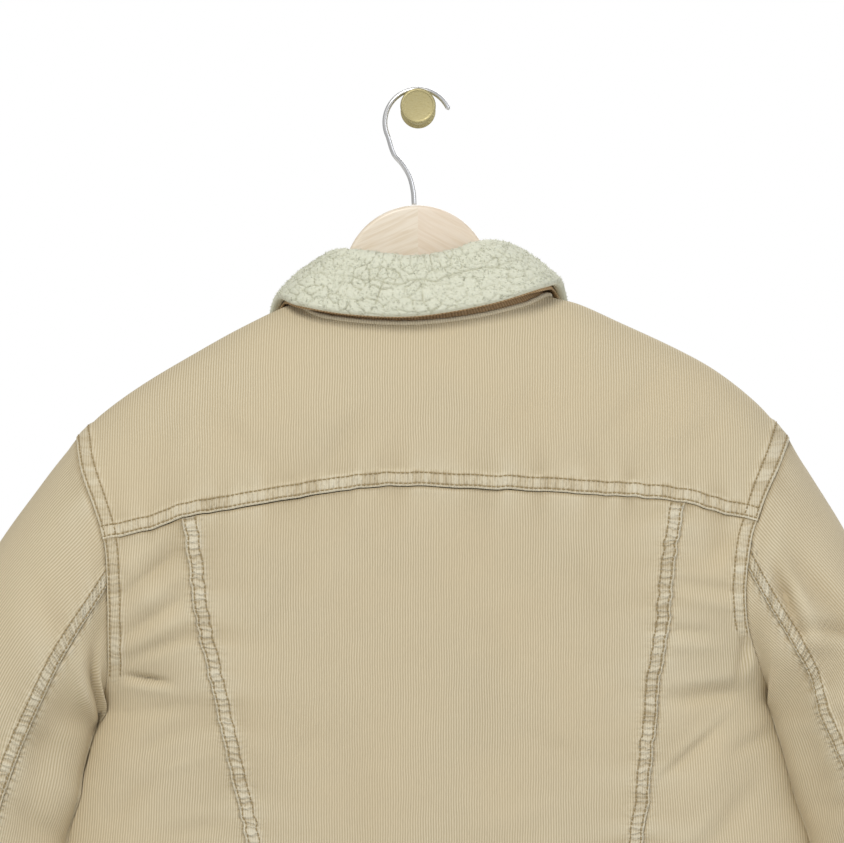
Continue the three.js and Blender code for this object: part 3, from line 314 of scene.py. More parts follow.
def shell(outer, inner, stride=3):
    # closed wall between two grids of the same size; the inside keeps every third row and column, and the rim
    # joins them with fans of triangles
    rows, columns = outer.shape[:2]
    count = rows * columns
    r = np.unique(np.append(np.arange(0, rows, stride), rows - 1))
    c = np.unique(np.append(np.arange(0, columns, stride), columns - 1))
    index = np.arange(count).reshape(rows, columns)
    pick = index[np.ix_(r, c)]
    after = np.full(count, -1)
    after[pick.ravel()] = count + np.arange(pick.size)
    rim = np.concatenate([index[0, :], index[1:, -1], index[-1, -2::-1], index[-2::-1, 0]])
    held = np.maximum.accumulate(np.where(after[rim] >= 0, np.arange(len(rim)), 0))
    fans = np.stack([rim[:-1], after[rim[held[:-1]]], rim[1:]], axis=-1)
    stops = np.flatnonzero(after[rim] >= 0)
    joins = np.stack([after[rim[stops[:-1]]], after[rim[stops[1:]]], rim[stops[1:]]], axis=-1)
    points = np.concatenate([outer.reshape(-1, 3), inner.reshape(-1, 3)[pick.ravel()]])
    faces = [gridFaces(rows, columns), np.concatenate([fans, joins]),
             gridFaces(len(r), len(c), count)[:, ::-1]]
    return points, faces, pick.ravel()


def gridNormals(grid, towards):
    # from the grid's own slopes, all turned to the side on which `towards` lies
    normal = unit(np.cross(np.gradient(grid, axis=1), np.gradient(grid, axis=0)))
    return normal if (normal * towards).sum() > 0 else -normal


def areaOf(grid):
    # flat area of a grid of points, in square metres
    across = np.linalg.norm(np.diff(grid, axis=1), axis=-1)
    down = np.linalg.norm(np.diff(grid, axis=0), axis=-1)
    return float((0.5 * (across[:-1] + across[1:]) * 0.5 * (down[:, :-1] + down[:, 1:])).sum()) * 1e-6


def cutOf(grid):
    # width, length and area of the cloth that a panel is cut from
    wide = float(np.linalg.norm(np.diff(grid, axis=1), axis=-1).sum(axis=1).max()) * 0.001
    long = float(np.linalg.norm(np.diff(grid, axis=0), axis=-1).sum(axis=0).max()) * 0.001
    return wide, long, min(max(areaOf(grid), 0.31 * wide * long), wide * long)


thread = {"pitch": 3.3, "long": 2.5, "thick": 0.42, "sink": 0.3}  # heavy polyester topstitching, 8 to the inch
stitchRows = {}


def stitchAlong(group, path, normals, pitch=None):
    # keeps one row of stitches: the path is walked at an even pitch, and each stitch lies along it
    length = lengthAlong(path)
    if length[-1] < 8:
        return
    spots = np.arange(2.0, length[-1] - 2.0, pitch or thread["pitch"])
    walk = lambda at, of: np.stack([np.interp(at, length, of[:, k]) for k in range(3)], axis=-1)
    middle = walk(spots, path)
    along = unit(walk(spots + 0.8, path) - walk(spots - 0.8, path))
    stitchRows.setdefault(group, []).append((middle, along, unit(walk(spots, normals))))


def sewStitches(group, material):
    # each stitch is a short round bar, thin and dipping at its two ends
    middle, along, up = (np.concatenate(parts) for parts in zip(*stitchRows[group]))
    side = np.cross(along, up)
    ring = np.linspace(0, 2 * np.pi, 5, endpoint=False)
    profile = [(-0.5, 0.35, -0.25), (-0.32, 1.0, 0.22), (0.32, 1.0, 0.22), (0.5, 0.35, -0.25)]
    rings = []
    for at, thick, lift in profile:
        centre = middle + along * at * thread["long"] + up * lift
        radius = thread["thick"] * thick
        rings.append(ringAround(centre, side, up, radius, ring))
    points = np.stack(rings, axis=1)  # stitch, ring, corner
    count = len(points)
    one = gridFaces(4, 5, wrap=True)
    base = (np.arange(count) * 20)[:, None, None]
    sides = (base + one[None]).reshape(-1, 4)
    ends = (base + np.array([[4, 3, 2, 1, 0], [15, 16, 17, 18, 19]])[None]).reshape(-1, 5)
    putMesh(f"stitches_{group}", points.reshape(-1, 3), [sides, ends], [material])


def fromHex(text):
    # sRGB hex to linear
    value = np.array([int(text[i:i + 2], 16) / 255 for i in (0, 2, 4)])
    linear = np.where(value <= 0.04045, value / 12.92, ((value + 0.055) / 1.055) ** 2.4)
    return (*linear, 1.0)


def addNode(tree, kind, sockets=None, **settings):
    # a value that is a node links its first output
    node = tree.nodes.new("ShaderNode" + kind)
    for name, value in settings.items():
        setattr(node, name, value)
    for key, value in (sockets or {}).items():
        if isinstance(value, bpy.types.Node):
            value = value.outputs[0]
        if isinstance(value, bpy.types.NodeSocket):
            tree.links.new(value, node.inputs[key])
        else:
            node.inputs[key].default_value = value
    return node


def newMaterial(name):
    material = bpy.data.materials.new(name)
    material.use_nodes = True
    tree = material.node_tree
    tree.nodes.clear()
    return material, tree


def finishMaterial(tree, sockets):
    shader = addNode(tree, "BsdfPrincipled", sockets)
    addNode(tree, "OutputMaterial", {"Surface": shader})


asColour = {"data_type": "RGBA", "blend_type": "MIX"}  # a Mix node for colours: sockets 0, 6 and 7, output 2
softStep = {"interpolation_type": "SMOOTHSTEP"}

corduroyLook = {
    "wale": 1.8,  # 14 wales to the inch
    "rib": "D9CEB5", "valley": "B9AA8A", "worn": "E3DDC9", "shadow": "998766", "warm": "CFBE9D",
}


def makeCorduroy(name, look, shade=1.0):
    # Cotton corduroy, garment washed: cut pile in 1.8 mm ribs with bare weave between them; the valleys' darker colour
    # is partly the weave's own tone and partly painted shade. It gives the eye fine lines along the grain, a soft bloom
    # at grazing angles, pale wear on every raised edge, and painted shade where its colour attribute falls below 0.
    material, tree = newMaterial(name)
    place = addNode(tree, "UVMap", uv_map="cloth")
    parts = addNode(tree, "SeparateXYZ", {0: place}).outputs
    drift = addNode(tree, "TexNoise", {"Vector": place, "Scale": 0.03, "Detail": 2.0})
    wander = addNode(tree, "Math", {0: drift, 1: 2.2}, operation="MULTIPLY")
    bent = addNode(tree, "Math", {0: parts[0], 1: wander}, operation="ADD")
    phase = addNode(tree, "Math", {0: bent, 1: 2 * math.pi / look["wale"]}, operation="MULTIPLY")
    sine = addNode(tree, "Math", {0: phase, 1: 0.0}, operation="SINE")
    wave = addNode(tree, "Math", {0: sine, 1: 0.5, 2: 0.5}, operation="MULTIPLY_ADD")
    stretched = addNode(tree, "Mapping", {"Vector": place, "Scale": (1.1, 0.28, 1)})
    nap = addNode(tree, "TexNoise", {"Vector": stretched, "Scale": 1.0, "Detail": 3.0})
    uneven = addNode(tree, "Math", {0: nap, 1: 0.5, 2: 0.72}, operation="MULTIPLY_ADD")
    rib = addNode(tree, "Math", {0: wave, 1: uneven}, operation="MULTIPLY")
    clouds = addNode(tree, "TexNoise", {"Vector": place, "Scale": 0.012, "Detail": 3.0})
    cloud = addNode(tree, "MapRange", {0: clouds, 1: 0.35, 2: 0.65, 3: 0.0, 4: 0.55})
    faint = addNode(tree, "Math", {0: cloud, 1: 0.5}, operation="MULTIPLY")
    wearAndShade = addNode(tree, "Attribute", attribute_name="wearAndShade").outputs["Fac"]
    worn = addNode(tree, "MapRange", {0: wearAndShade, 1: 0.0, 2: 1.0, 3: 0.0, 4: 0.75})
    # painted shade: attribute values below 0 mix the colour towards the shadow tone
    dark = addNode(tree, "MapRange", {0: wearAndShade, 1: 0.0, 2: -1.0, 3: 0.0, 4: 0.8})
    tone = {key: (*(c * shade for c in fromHex(look[key])[:3]), 1.0) for key in look if key != "wale"}
    colour = addNode(tree, "Mix", {0: rib, 6: tone["valley"], 7: tone["rib"]}, **asColour).outputs[2]
    # puckers: cells of uneven width along the seam, 4.4 mm on average, with a narrow pinch of painted shade between
    # them; their paler middles are partly rubbed wear and partly painted light
    sewn = addNode(tree, "UVMap", uv_map="seam")
    tight = addNode(tree, "Attribute", attribute_name="pucker").outputs["Fac"]
    bend = addNode(tree, "TexNoise", {"Vector": sewn, "Scale": 0.16, "Detail": 2.0})
    shift = addNode(tree, "Math", {0: bend, 1: 7.0}, operation="MULTIPLY")
    run = addNode(tree, "Math", {0: addNode(tree, "SeparateXYZ", {0: sewn}), 1: shift}, operation="ADD")
    count = addNode(tree, "Math", {0: run, 1: 1 / 4.4}, operation="MULTIPLY")
    pinch = addNode(tree, "TexVoronoi", {"W": count, "Scale": 1.0}, voronoi_dimensions="1D", feature="DISTANCE_TO_EDGE")
    line = addNode(tree, "MapRange", {0: pinch, 1: 0.0, 2: 0.17, 3: 1.0, 4: 0.0}, **softStep)
    pillow = addNode(tree, "MapRange", {0: pinch, 1: 0.0, 2: 0.5, 3: 0.0, 4: 1.0}, **softStep)
    pinched, puffed = (addNode(tree, "Math", {0: part, 1: tight}, operation="MULTIPLY") for part in (line, pillow))
    # painted shade in the pinches and, below, paler pillows that are partly wear and partly painted light
    pinchShadeTone = addNode(tree, "Math", {0: pinched, 1: 0.36}, operation="MULTIPLY")
    puffedTone = addNode(tree, "Math", {0: puffed, 1: 0.32}, operation="MULTIPLY")
    for share, key in ((faint, "warm"), (worn, "worn"), (dark, "shadow"), (pinchShadeTone, "shadow"), (puffedTone, "worn")):
        colour = addNode(tree, "Mix", {0: share, 6: colour, 7: tone[key]}, **asColour).outputs[2]
    puff = addNode(tree, "Bump", {"Height": puffed, "Strength": 0.9, "Distance": 0.0009})
    fine = addNode(tree, "Math", {0: nap, 1: 0.3}, operation="MULTIPLY")
    height = addNode(tree, "Math", {0: rib, 1: fine}, operation="ADD")
    bump = addNode(tree, "Bump", {"Height": height, "Strength": 0.45, "Distance": 0.0005, "Normal": puff})
    finishMaterial(tree, {
        "Base Color": colour, "Roughness": 0.93, "Sheen Weight": 0.22, "Sheen Roughness": 0.45,
        "Sheen Tint": fromHex("F2E8D2"), "Specular IOR Level": 0.25, "Normal": bump,
    })
    return material


def makeSherpa(name, cream, light, deep, mats):
    # Polyester sherpa: brushed curls that clot into 5 mm clumps. The eye sees pale mats with darker cracks
    # between them, no shine, and a fine curl in each. `mats` says that the material gives the cracks' relief too.
    material, tree = newMaterial(name)
    place = addNode(tree, "UVMap", uv_map="cloth")
    warp = addNode(tree, "TexNoise", {"Vector": place, "Scale": 0.25, "Detail": 2.0})
    bent = addNode(tree, "VectorMath", {0: warp.outputs[1], 1: (2.4, 2.4, 0)}, operation="MULTIPLY")
    bent = addNode(tree, "VectorMath", {0: place, 1: bent}, operation="ADD")
    curls = addNode(tree, "TexNoise", {"Vector": bent, "Scale": 1.1, "Detail": 4.0, "Distortion": 1.2})
    wearAndShade = addNode(tree, "Attribute", attribute_name="wearAndShade").outputs["Fac"]
    # painted shade: the lower the attribute (in the cracks between clumps), the more the colour goes towards the deep
    # tone
    low = addNode(tree, "MapRange", {0: wearAndShade, 1: 0.0, 2: 1.0, 3: 0.75, 4: 0.0})
    colour = addNode(tree, "Mix", {0: curls, 6: fromHex(cream), 7: fromHex(light)}, **asColour).outputs[2]
    colour = addNode(tree, "Mix", {0: low, 6: colour, 7: fromHex(deep)}, **asColour).outputs[2]
    height = addNode(tree, "Math", {0: curls, 1: 0.7}, operation="MULTIPLY")
    if mats:
        cells = addNode(tree, "TexVoronoi", {"Vector": bent, "Scale": 0.19}, feature="DISTANCE_TO_EDGE")
        crack = addNode(tree, "MapRange", {0: cells, 1: 0.0, 2: 0.16, 3: 0.0, 4: 1.0}, **softStep)
        height = addNode(tree, "Math", {0: crack, 1: height}, operation="ADD")
    bump = addNode(tree, "Bump", {"Height": height, "Strength": 0.75, "Distance": 0.0013})
    finishMaterial(tree, {
        "Base Color": colour, "Roughness": 0.97, "Sheen Weight": 0.3, "Sheen Roughness": 0.6,
        "Sheen Tint": fromHex("FFFDF2"), "Specular IOR Level": 0.15, "Normal": bump,
        "Subsurface Weight": 0.06, "Subsurface Radius": (0.004, 0.0035, 0.003),
    })
    return material


def makeThread(name, tone):
    # Corespun polyester thread, two plies twisted: a slight satin line with tiny slanting steps.
    material, tree = newMaterial(name)
    place = addNode(tree, "TexCoord").outputs["Object"]
    twist = addNode(tree, "TexNoise", {"Vector": place, "Scale": 900.0, "Detail": 1.0})
    colour = addNode(tree, "Mix", {0: twist, 6: fromHex(tone), 7: fromHex("A8946A")}, **asColour).outputs[2]
    finishMaterial(tree, {"Base Color": colour, "Roughness": 0.7, "Sheen Weight": 0.1})
    return material


def makeQuilt(name):
    # Polyester taffeta quilted over thin wadding in 60 mm squares: a faint sheen, with soft pillows between the
    # sewn lines.
    material, tree = newMaterial(name)
    place = addNode(tree, "UVMap", uv_map="cloth")
    turned = addNode(tree, "Mapping", {"Vector": place, "Rotation": (0, 0, math.radians(45)),
                                       "Scale": (1 / 60, 1 / 60, 1)})
    parts = addNode(tree, "SeparateXYZ", {0: turned}).outputs
    pillows = []
    for part in (parts[0], parts[1]):
        for value, operation in ((1.0, "PINGPONG"), (0.5, "SUBTRACT"), (0.0, "ABSOLUTE"), (0.5, "MINIMUM")):
            part = addNode(tree, "Math", {0: part, 1: value}, operation=operation)
        pillows.append(part)
    height = addNode(tree, "Math", {0: pillows[0], 1: pillows[1]}, operation="MAXIMUM")
    sunk = addNode(tree, "Math", {0: height, 1: -1.0}, operation="MULTIPLY")
    weave = addNode(tree, "TexNoise", {"Vector": place, "Scale": 2.5, "Detail": 2.0})
    colour = addNode(tree, "Mix", {0: weave, 6: fromHex("B7A684"), 7: fromHex("C9BA9A")}, **asColour).outputs[2]
    bump = addNode(tree, "Bump", {"Height": sunk, "Strength": 0.6, "Distance": 0.004})
    finishMaterial(tree, {"Base Color": colour, "Roughness": 0.5, "Sheen Weight": 0.1, "Normal": bump})
    return material


corduroy = makeCorduroy("cottonCorduroy", corduroyLook)
corduroyDeep = makeCorduroy("cottonCorduroyUnderside", corduroyLook, 0.86)
corduroyWarm = makeCorduroy("cottonCorduroyCollar", {**corduroyLook, "rib": "CFAE84", "valley": "A07D54",
                                                     "worn": "DCC4A0"})
sherpaPile = makeSherpa("polyesterSherpa", "DADCC7", "E5E7D8", "9D9B7C", mats=False)
sherpaLining = makeSherpa("polyesterSherpaLining", "D8D6C4", "E2E2D2", "AFAC92", mats=True)
quiltLining = makeQuilt("quiltedTaffeta")
threadTan = makeThread("topstitchThread", "937F58")


bandSteps = np.array([0, 0.35, 0.9, 1.5, 2.0, 2.5, 3.3, 4.8, 6.3, 7.8, 9.0, 9.5, 10.0, 10.6, 11.4, 12.6])
plainSteps = np.array([0, 0.5, 1.2, 2.4, 4.4])
innerRow, outerRow = 4, 11  # places of the two stitch rows in bandSteps, 2 and 9.5 mm in


def places(count, low=plainSteps, high=plainSteps, ease=1.0):
    # places across a panel, as share = a + b / length: given distances at both edges and even steps between
    s = np.linspace(0, 1, count + 1) ** ease
    a = np.concatenate([0 * low[:-1], s, 1 + 0 * high[-2::-1]])
    b = np.concatenate([low[:-1], low[-1] - s * (low[-1] + high[-1]), -high[-2::-1]])
    return a, b


def layPanel(edges, across, down):
    # Coons patch between four edge curves, and each point's distance from every edge
    left, right, top, bottom = edges
    (aU, bU), (aV, bV) = across, down
    middle = np.linalg.norm(top(np.array(0.5)) - bottom(np.array(0.5)))
    guess = aV + bV / middle
    wide = np.linalg.norm(left(guess) - right(guess), axis=-1)[:, None]
    u = aU[None] + bU[None] / wide
    high = np.linalg.norm(top(u) - bottom(u), axis=-1)
    v = aV[:, None] + bV[:, None] / high
    uu, vv = u[..., None], v[..., None]
    ends = [edge(np.array(float(k))) for edge in (top, bottom) for k in (0, 1)]
    flat = (mix(left(v), right(v), uu) + mix(top(u), bottom(u), vv)
            - mix(mix(ends[0], ends[1], uu), mix(ends[2], ends[3], uu), vv))
    return flat[..., 0], flat[..., 1], {"left": u * wide, "right": (1 - u) * wide, "top": v * high,
                                        "bottom": (1 - v) * high}


def roll(d, radius=0.9):
    # how far a folded edge turns down at a distance d from it
    return radius * (1 - np.sqrt(np.clip(1 - (1 - np.clip(d / radius, 0, 1)) ** 2, 0, 1)))


def bandForm(d, s, seed, tight=0.5):
    # a felled seam band: raised, rolled at its edge, grooved under two stitch rows and puckered across
    raised = cut["bandRise"] * (1 - smooth((d - 10) / 2.5)) - roll(d)
    groove = 0.32 * (np.exp(-((d - 2) / 0.6) ** 2) + np.exp(-((d - 9.5) / 0.6) ** 2))
    fine = 0.6 * lineNoise(s, 3.1, seed) + 0.4 * lineNoise(s, 7.3, seed + 1)
    inside = smooth(d / 1.2) * (1 - smooth((d - 9.5) / 3.5))
    lift = raised - groove + tight * fine * inside
    edge = np.exp(-(d / 1.1) ** 2)
    # the colour value: pale wear on the folded edge, puckers paler on their tops (partly wear, partly painted light)
    # and painted shade between them, and painted shade in the two stitch grooves
    wearAndShade = 0.95 * edge + inside * (0.16 + 0.75 * np.clip(fine, -0.6, 0.8)) - 1.1 * groove / 0.32
    return lift, wearAndShade


def ripples(d, s, seed, loose=0.8, reach=16):
    # cloth beside a seam: the band's puckers open out and fade; the colour follows their height, paler on the crests
    # (partly wear, partly painted light) and painted shade in the troughs
    away = np.maximum(d, 0)
    fade = smooth(away / 2.5) * np.exp(-away / reach)
    wide = lineNoise(s + 0.12 * away, 12.5, seed + 2)
    small = lineNoise(s, 5.2, seed + 3) * np.exp(-away / 6)
    return fade * loose * (wide + 0.5 * small), fade * (0.3 * wide + 0.25 * small)


def clothWaves(x, z, seed, high=0.7):
    return (high * patchNoise(x, z, 46, seed) + 0.45 * high * patchNoise(x, z, 21, seed + 1)
            + 0.14 * high * patchNoise(x, z, 8, seed + 2))


def nearestSeam(*seams):
    # for every point, the place along and the distance from its nearest seam, and how strongly it puckers there;
    # each seam is (distance, place along, seed, tightness)
    shape = np.broadcast(*[seam[0] for seam in seams]).shape
    distance = np.stack([np.broadcast_to(seam[0], shape) for seam in seams])
    which = distance.argmin(axis=0)[None]
    along = np.stack([np.broadcast_to(seam[1] + 131.0 * seam[2], shape) for seam in seams])
    tight = np.stack([np.broadcast_to(seam[3], shape) for seam in seams])
    take = lambda values: np.take_along_axis(values, which, axis=0)[0]
    d = take(distance)
    fade = smooth(d / 1.6) * np.where(d < 10, 1, 0.5 * np.exp(-np.maximum(0, d - 10) / 3.2))
    if len(seams) > 1:  # no puckers where two seams are equally near, because the place along them jumps there
        fade = fade * smooth((np.sort(distance, axis=0)[1] - d) / 5 - 0.25)
    return np.stack([take(along), d], axis=-1), take(tight) * fade


def putCloth(name, outer, inner, uv, wearAndShade, seam, pucker, lining, flatGrid=None, title=None):
    # a cloth wall with its grain and seam attributes and a colour attribute of wear and painted shade; the inside reads
    # the same places
    points, faces, pick = shell(outer, inner)
    both = lambda values: np.concatenate([values, values[pick]])
    flatten = lambda values: values.reshape(-1, 2)
    wearAndShadeAll = np.concatenate([np.clip(wearAndShade, -1, 1).ravel(), np.full(len(pick), 0.75)])
    puckerAll = np.concatenate([pucker.ravel(), np.zeros(len(pick))])
    putMesh(title or name + "_cloth", points, faces, [corduroy, lining], both(flatten(uv)), wearAndShadeAll,
                   slots=[0, 0, 1], replaces=[name], flat=cutOf(outer if flatGrid is None else flatGrid),
                   seam=both(flatten(seam)), pucker=puckerAll)


def bodyPiece(name, face, edges, across, down, form, wall=None, out=0.0, lean=0.0, lining=None):
    # lifts a flat patch onto the body, adds its relief, and closes it into a wall with the pile behind it
    x, z, d = layPanel(edges, across, down)
    lift, wearAndShade, seam, pucker = form(x, z, d)
    crease = 0.72 * ridges(x, z, bodyCreases[face])
    base = bodyPoint(x, z, face, out)
    normals = bodyNormal(x, z, face)
    edgeIn = np.minimum(np.minimum(d["left"], d["right"]), np.minimum(d["top"], d["bottom"]))
    outer = base + normals * (lift + crease * smooth(edgeIn / 6))[..., None]
    inner = base - normals * (cut["bodyWall"] if wall is None else wall)
    uv = np.stack([x + lean * z, z], axis=-1)
    # the creases' height tints the colour too: paler ridges (partly wear, partly painted light) and painted shade in
    # the troughs
    putCloth(name, outer, inner, uv, wearAndShade + 0.05 * crease, seam, pucker, lining or sherpaLining)
    return outer, gridNormals(outer, normals), d


def seamLines(group, outer, normals, where, columns=True, keep=None):
    # topstitching along chosen columns or rows of a panel
    for k in where:
        path, up = (outer[:, k], normals[:, k]) if columns else (outer[k], normals[k])
        if keep is not None:
            path, up = path[keep], up[keep]
        stitchAlong(group, path + up * 0.15, up)


xzOf = lambda x, z: np.stack([np.broadcast_to(x, np.broadcast(x, z).shape), np.broadcast_to(z, np.broadcast(x, z).shape)],
                             axis=-1)

# collar sections from the left front end round the back to the right front end, in the columns
# seamX seamZ foldX foldY foldZ edgeX edgeY edgeZ, y measured from the hanger's plane
collarRows = np.array([
    (-16, -211, -15, 42, -197, -58, 54, -272), (-52, -194, -41, 35, -168, -92, 53, -230),
    (-82, -163, -60, 19, -134, -105, 34, -174), (-90, -141, -62, 2, -119, -98, 3, -143),
    (-70, -150, -53, -19, -114, -83, -27, -145), (-38, -154.5, -28, -27, -117, -46, -39, -150.5),
    (0, -155.5, 0, -28.5, -119.7, -1, -42, -151.5), (40, -151, 27, -27, -114, 48, -39, -143.5),
    (74, -143, 52, -19, -108, 86.5, -27, -133), (94, -136, 66, 2, -113, 99.5, 3, -134.5),
    (86, -158, 58, 19, -128, 107, 34, -168), (62, -190, 49, 35, -163, 100, 53, -226),
    (26, -211, 25, 42, -197, 68, 54, -270),
], float)
collarAt = [curveThrough(list(zip(range(13), collarRows[:, k]))) for k in range(8)]
sideRow = {"left": 3, "right": 9}
neckAt = lambda at: xzOf(collarAt[0](at), collarAt[1](at))


def makeYoke():
    tip = {side: float(armholeX["back"][side](cut["tipZ"][side])) for side in sideRow}
    end = cut["yokeEnd"]
    neck = {side: float(neckAt(np.array(sideRow[side]))[0]) for side in sideRow}
    share = 0.32  # of the top edge that each shoulder takes

    def top(u):
        u = np.asarray(u, float)
        left = mix(tip["left"], neck["left"], np.clip(u / share, 0, 1))
        right = mix(tip["right"], neck["right"], np.clip((1 - u) / share, 0, 1))
        middle = neckAt(mix(3, 9, np.clip((u - share) / (1 - 2 * share), 0, 1)))
        return np.where((u < share)[..., None], xzOf(left, shoulderZ(left)),
                        np.where((u > 1 - share)[..., None], xzOf(right, shoulderZ(right)), middle))

    def side(which):
        def edge(v):
            z = mix(cut["tipZ"][which], end[which], np.asarray(v, float))
            return xzOf(armholeX["back"][which](z), z)
        return edge

    def bottom(u):
        corner = [armholeX["back"][which](end[which]) for which in ("left", "right")]
        x = mix(corner[0], corner[1], np.asarray(u, float))
        return xzOf(x, yokeZ(x))

    def form(x, z, d):
        low, lowWearAndShade = bandForm(d["bottom"], x, 11, 0.42)
        left, leftWearAndShade = bandForm(d["left"], z, 21, 0.3)
        right, rightWearAndShade = bandForm(d["right"], z, 31, 0.3)
        lift = np.maximum(np.maximum(low, left), right)
        wearAndShade = np.where(low >= np.maximum(left, right), lowWearAndShade, np.where(left >= right, leftWearAndShade, rightWearAndShade))
        near, nearWearAndShade = ripples(d["bottom"] - 11, x, 11, 0.5, 12)
        top = smooth(d["top"] / 10)
        seam, pucker = nearestSeam((d["bottom"], x, 1, 0.55), (d["left"], z, 2, 0.4), (d["right"], z, 3, 0.4))
        return lift + near + clothWaves(x, z, 41, 0.8) * top, wearAndShade + nearWearAndShade, seam, pucker

    outer, normals, d = bodyPiece("back_yoke", "back", (side("left"), side("right"), top, bottom),
                                  places(170, bandSteps, bandSteps), places(46, plainSteps, bandSteps, 1.15), form)
    seamLines("back", outer, normals, [-1 - innerRow, -1 - outerRow], columns=False)
    seamLines("back", outer, normals, [innerRow, outerRow, -1 - innerRow, -1 - outerRow])


def princessEdge(side, top):
    def edge(v):
        z = mix(top, cut["waistTop"], np.asarray(v, float))
        return xzOf(princessX[side](z), z)
    return edge


def makeCentre():
    def top(u):
        x = mix(-167, 189, np.asarray(u, float))
        return xzOf(x, yokeZ(x))

    def bottom(u):
        x = mix(princessX["left"](cut["waistTop"]), princessX["right"](cut["waistTop"]), np.asarray(u, float))
        return xzOf(x, cut["waistTop"] + 0 * x)

    def form(x, z, d):
        left, leftWearAndShade = bandForm(d["left"], z, 51, 0.62)
        right, rightWearAndShade = bandForm(d["right"], z, 61, 0.62)
        lift = np.maximum(left, right)
        wearAndShade = np.where(left >= right, leftWearAndShade, rightWearAndShade)
        nearLeft, wearAndShadeLeft = ripples(d["left"] - 11, z, 51, 0.6, 15)
        nearRight, wearAndShadeRight = ripples(d["right"] - 11, z, 61, 0.6, 15)
        under, underWearAndShade = ripples(d["top"], x, 11, 0.7, 14)
        # painted shadow: a dark line in the colour just under the yoke's lapped edge
        shadow = -0.9 * np.exp(-(d["top"] / 1.2) ** 2)
        seam, pucker = nearestSeam((d["left"], z, 4, 1.0), (d["right"], z, 5, 1.0), (d["top"] + 12, x, 1, 0.5))
        return (lift + nearLeft + nearRight + under + clothWaves(x, z, 71, 0.8) * smooth(d["top"] / 8),
                wearAndShade + wearAndShadeLeft + wearAndShadeRight + underWearAndShade + shadow, seam, pucker)

    edges = (princessEdge("left", -294), princessEdge("right", -283), top, bottom)
    outer, normals, d = bodyPiece("back_centre", "back", edges, places(96, bandSteps, bandSteps), places(250), form)
    seamLines("back", outer, normals, [innerRow, outerRow, -1 - innerRow, -1 - outerRow])


def makeSide(side):
    sign = sideSign[side]
    seed = 100 if side == "left" else 140
    start = -294 if side == "left" else -283
    bandEnd = -424 if side == "left" else -394  # the panel rolls under the sleeve there and hides its band

    def outside(v):
        z = mix(cut["yokeEnd"][side], cut["waistTop"], np.asarray(v, float))
        return xzOf(np.where(z > armpit[side][1], armholeX["back"][side](z), flankX[side](z)), z)

    def part(share, level=None):
        x = mix(armholeX["back"][side](cut["yokeEnd"][side]), princessX[side](start), share)
        return xzOf(x, yokeZ(x))

    def waist(share):
        x = mix(flankX[side](cut["waistTop"]), princessX[side](cut["waistTop"]), share)
        return xzOf(x, cut["waistTop"] + 0 * x)

    inside = princessEdge(side, start)
    order = (lambda edge: edge) if side == "left" else (lambda edge: lambda u: edge(1 - np.asarray(u, float)))
    a, b = places(64, bandSteps, plainSteps, 1.25)
    if side == "right":
        a, b = (1 - a)[::-1], (-b)[::-1]
    near, far = ("left", "right") if side == "left" else ("right", "left")

    def form(x, z, d):
        onArmhole = smooth((z - bandEnd) / 40)
        band, bandWearAndShade = bandForm(d[near], z, seed, 0.4)
        lift, wearAndShade = band * onArmhole, bandWearAndShade * onArmhole
        along, alongWearAndShade = ripples(d[far], z, 51 if side == "left" else 61, 1.0, 20)
        under, underWearAndShade = ripples(d["top"], x, 11, 0.7, 12)
        # painted shadows: dark lines in the colour under the centre panel's lapped edge and under the yoke
        shadow = -0.9 * np.exp(-(d[far] / 1.2) ** 2) - 0.9 * np.exp(-(d["top"] / 1.2) ** 2)
        seam, pucker = nearestSeam((d[near], z, 6, 0.5 * onArmhole), (d[far] + 9, z, 4 if side == "left" else 5, 0.7),
                                   (d["top"] + 12, x, 1, 0.5))
        return (lift + along + under + clothWaves(x, z, seed + 5, 1.0) * smooth(d["top"] / 8),
                wearAndShade + alongWearAndShade + underWearAndShade + shadow, seam, pucker)

    edges = (outside, inside) if side == "left" else (inside, outside)
    outer, normals, d = bodyPiece(f"back_side_{side}", "back", (*edges, order(part), order(waist)),
                                  (a, b), places(250), form, lean=0.05 * sign)
    keep = outer[:, 0 if side == "left" else -1, 2] > bandEnd + 14
    rows = [innerRow, outerRow] if side == "left" else [-1 - innerRow, -1 - outerRow]
    seamLines("back", outer, normals, rows, keep=keep)


centreFront = lambda z: cut["centreX"] + cut["centreLean"] * ((z + 214) / (cut["waistTop"] + 214))


